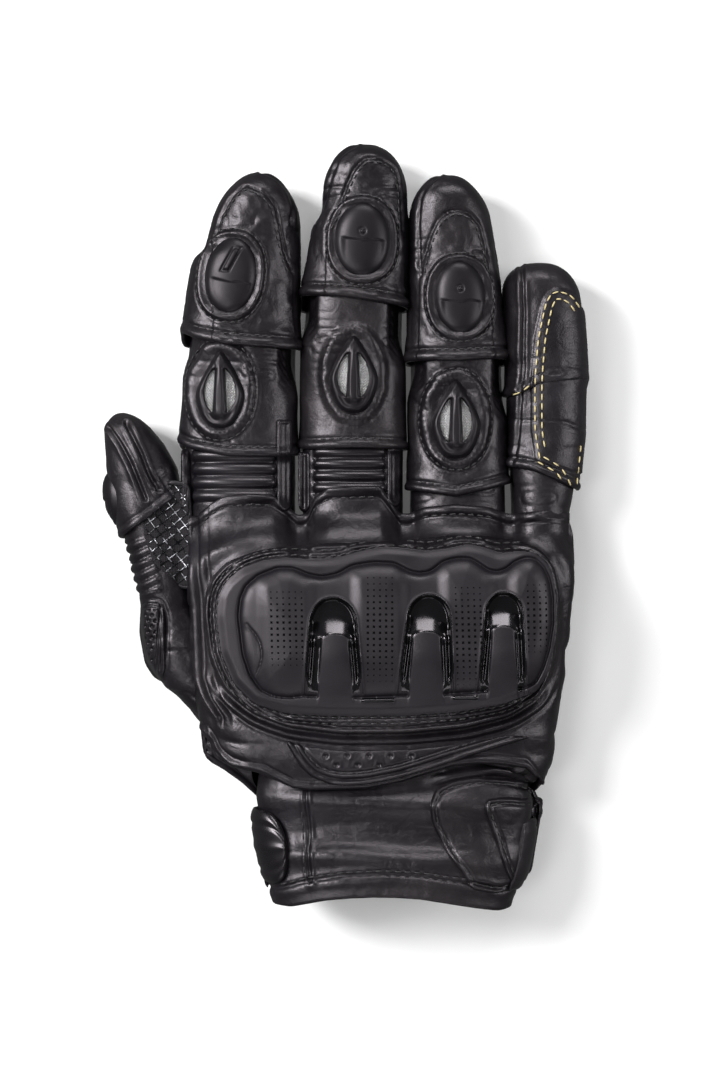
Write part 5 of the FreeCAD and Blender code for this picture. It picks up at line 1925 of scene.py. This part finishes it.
welt_edge = closed_ring(smooth_loop(WELT_INNER, 1.0))
root_edge, inner_edge = (closed_ring(smooth_loop(p, 1.0)) for p in (ROOT_PATCH, INNER_PATCH))
panel_edge = smooth_line(VENT_HEM, 1.0)
fronts = [along_curve(FRONT, *span) for span in ((-45, -23, -2.9), (-8, 9, -2.9), (23, 46, -2.6))]
cuff_paths = [along_curve(HEM_LINE, -21, 50, 1.0), [(-14.0, -88), (-13.6, -98), (-13.2, -108)]]
SEWN = [  # name, surface, paths, stitch length, gap, width, body: None where it bends at the wrist
    ("guard_frame", tree_of(welt), [offset(welt_edge, 1.3), offset(welt_edge, 3.2)], 2.1, 0.9, 0.5, "hand"),
    ("hand", HAND_TREE, fronts, 1.9, 0.8, 0.45, "hand"),
    ("wrist_vent", tree_of(vent_panel), [offset(panel_edge, 4.0)], 1.9, 0.8, 0.45, None),
    ("cuff", CUFF_TREE, cuff_paths, 2.0, 0.9, 0.45, "cuff"),
    ("strap_root", ROOT_TREE, [offset(root_edge, 1.9)], 2.0, 0.9, 0.45, "cuff"),
    ("strap_root_inner", tree_of(inner_patch), [offset(inner_edge, 1.9)], 2.0, 0.9, 0.45, "cuff"),
]
for _name, tree, paths, length, gap, width, body in SEWN:
    stitches = thread(_name + "_stitching", tree, paths, THREAD, length, gap, width)
    if body:
        ride(stitches, body, "leather")
    else:
        blend(stitches, "hand", "cuff", *WRIST_FOLD, "leather")

# ---------------------------------------------------------------- bodies, stage, camera

for obj, how, slot, nodes in PIECES:
    if how[0] == "ride":
        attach(obj, how[1])
    else:
        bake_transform(obj)
    if nodes:
        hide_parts(*nodes)


def stage_plane():
    glow = {"Specular_Tint": (1, 1, 1, 1), "Emission_Color": (1, 1, 1, 1), "Emission_Strength": 0.08}
    m, shader, t = material("floor", (0.93, 0.93, 0.93), 0.9, **glow)
    grain = noise_node(t, coords(t), 3.0)
    t.links.new(mix_colour(t, grain, (0.92, 0.92, 0.92), (0.94, 0.94, 0.94)), shader.inputs["Base Color"])
    bpy.ops.mesh.primitive_plane_add(size=6, location=(0, 0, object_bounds()[0][2]))
    floor = bpy.context.object
    floor.name = "floor"
    floor.visible_glossy = False  # a white floor would put a bright rim round every black edge
    floor.data.materials.append(m)


def softbox(name, at, size, power):
    """Rectangular lamp at a place in metres, turned to the glove."""
    lamp = bpy.data.lights.new(name, "AREA")
    lamp.shape, lamp.size, lamp.size_y, lamp.energy = "RECTANGLE", size[0], size[1], power
    obj = bpy.data.objects.new(name, lamp)
    bpy.context.scene.collection.objects.link(obj)
    obj.location = at
    obj.rotation_euler = (Vector((0, 0, 0.02)) - Vector(at)).to_track_quat("-Z", "Y").to_euler()


stage_plane()
softbox("key_left", (-1.0, 0.45, 1.0), (0.42, 0.7), 27)
softbox("top_far", (0.15, 1.4, 0.85), (1.1, 0.35), 13)
softbox("right", (1.3, 0.1, 0.8), (0.35, 1.0), 8)
softbox("near_low", (0.1, -1.35, 0.8), (1.1, 0.4), 3)
softbox("overhead", (-0.42, -0.24, 1.15), (0.26, 0.4), 2.6)
world = bpy.data.worlds.new("studio")
world.use_nodes = True
sky = world.node_tree.nodes["Background"].inputs
sky["Color"].default_value, sky["Strength"].default_value = (1, 1, 1, 1), 0.14
bpy.context.scene.world = world
bpy.context.scene.view_settings.view_transform = "Standard"

lens = bpy.data.cameras.new("camera")
lens.lens, lens.sensor_width = 85.0, 36.0
camera = bpy.data.objects.new("camera", lens)
camera.location = (0.00395, -0.00474, 0.818)  # straight above the glove's middle
bpy.context.scene.collection.objects.link(camera)
bpy.context.scene.camera = camera
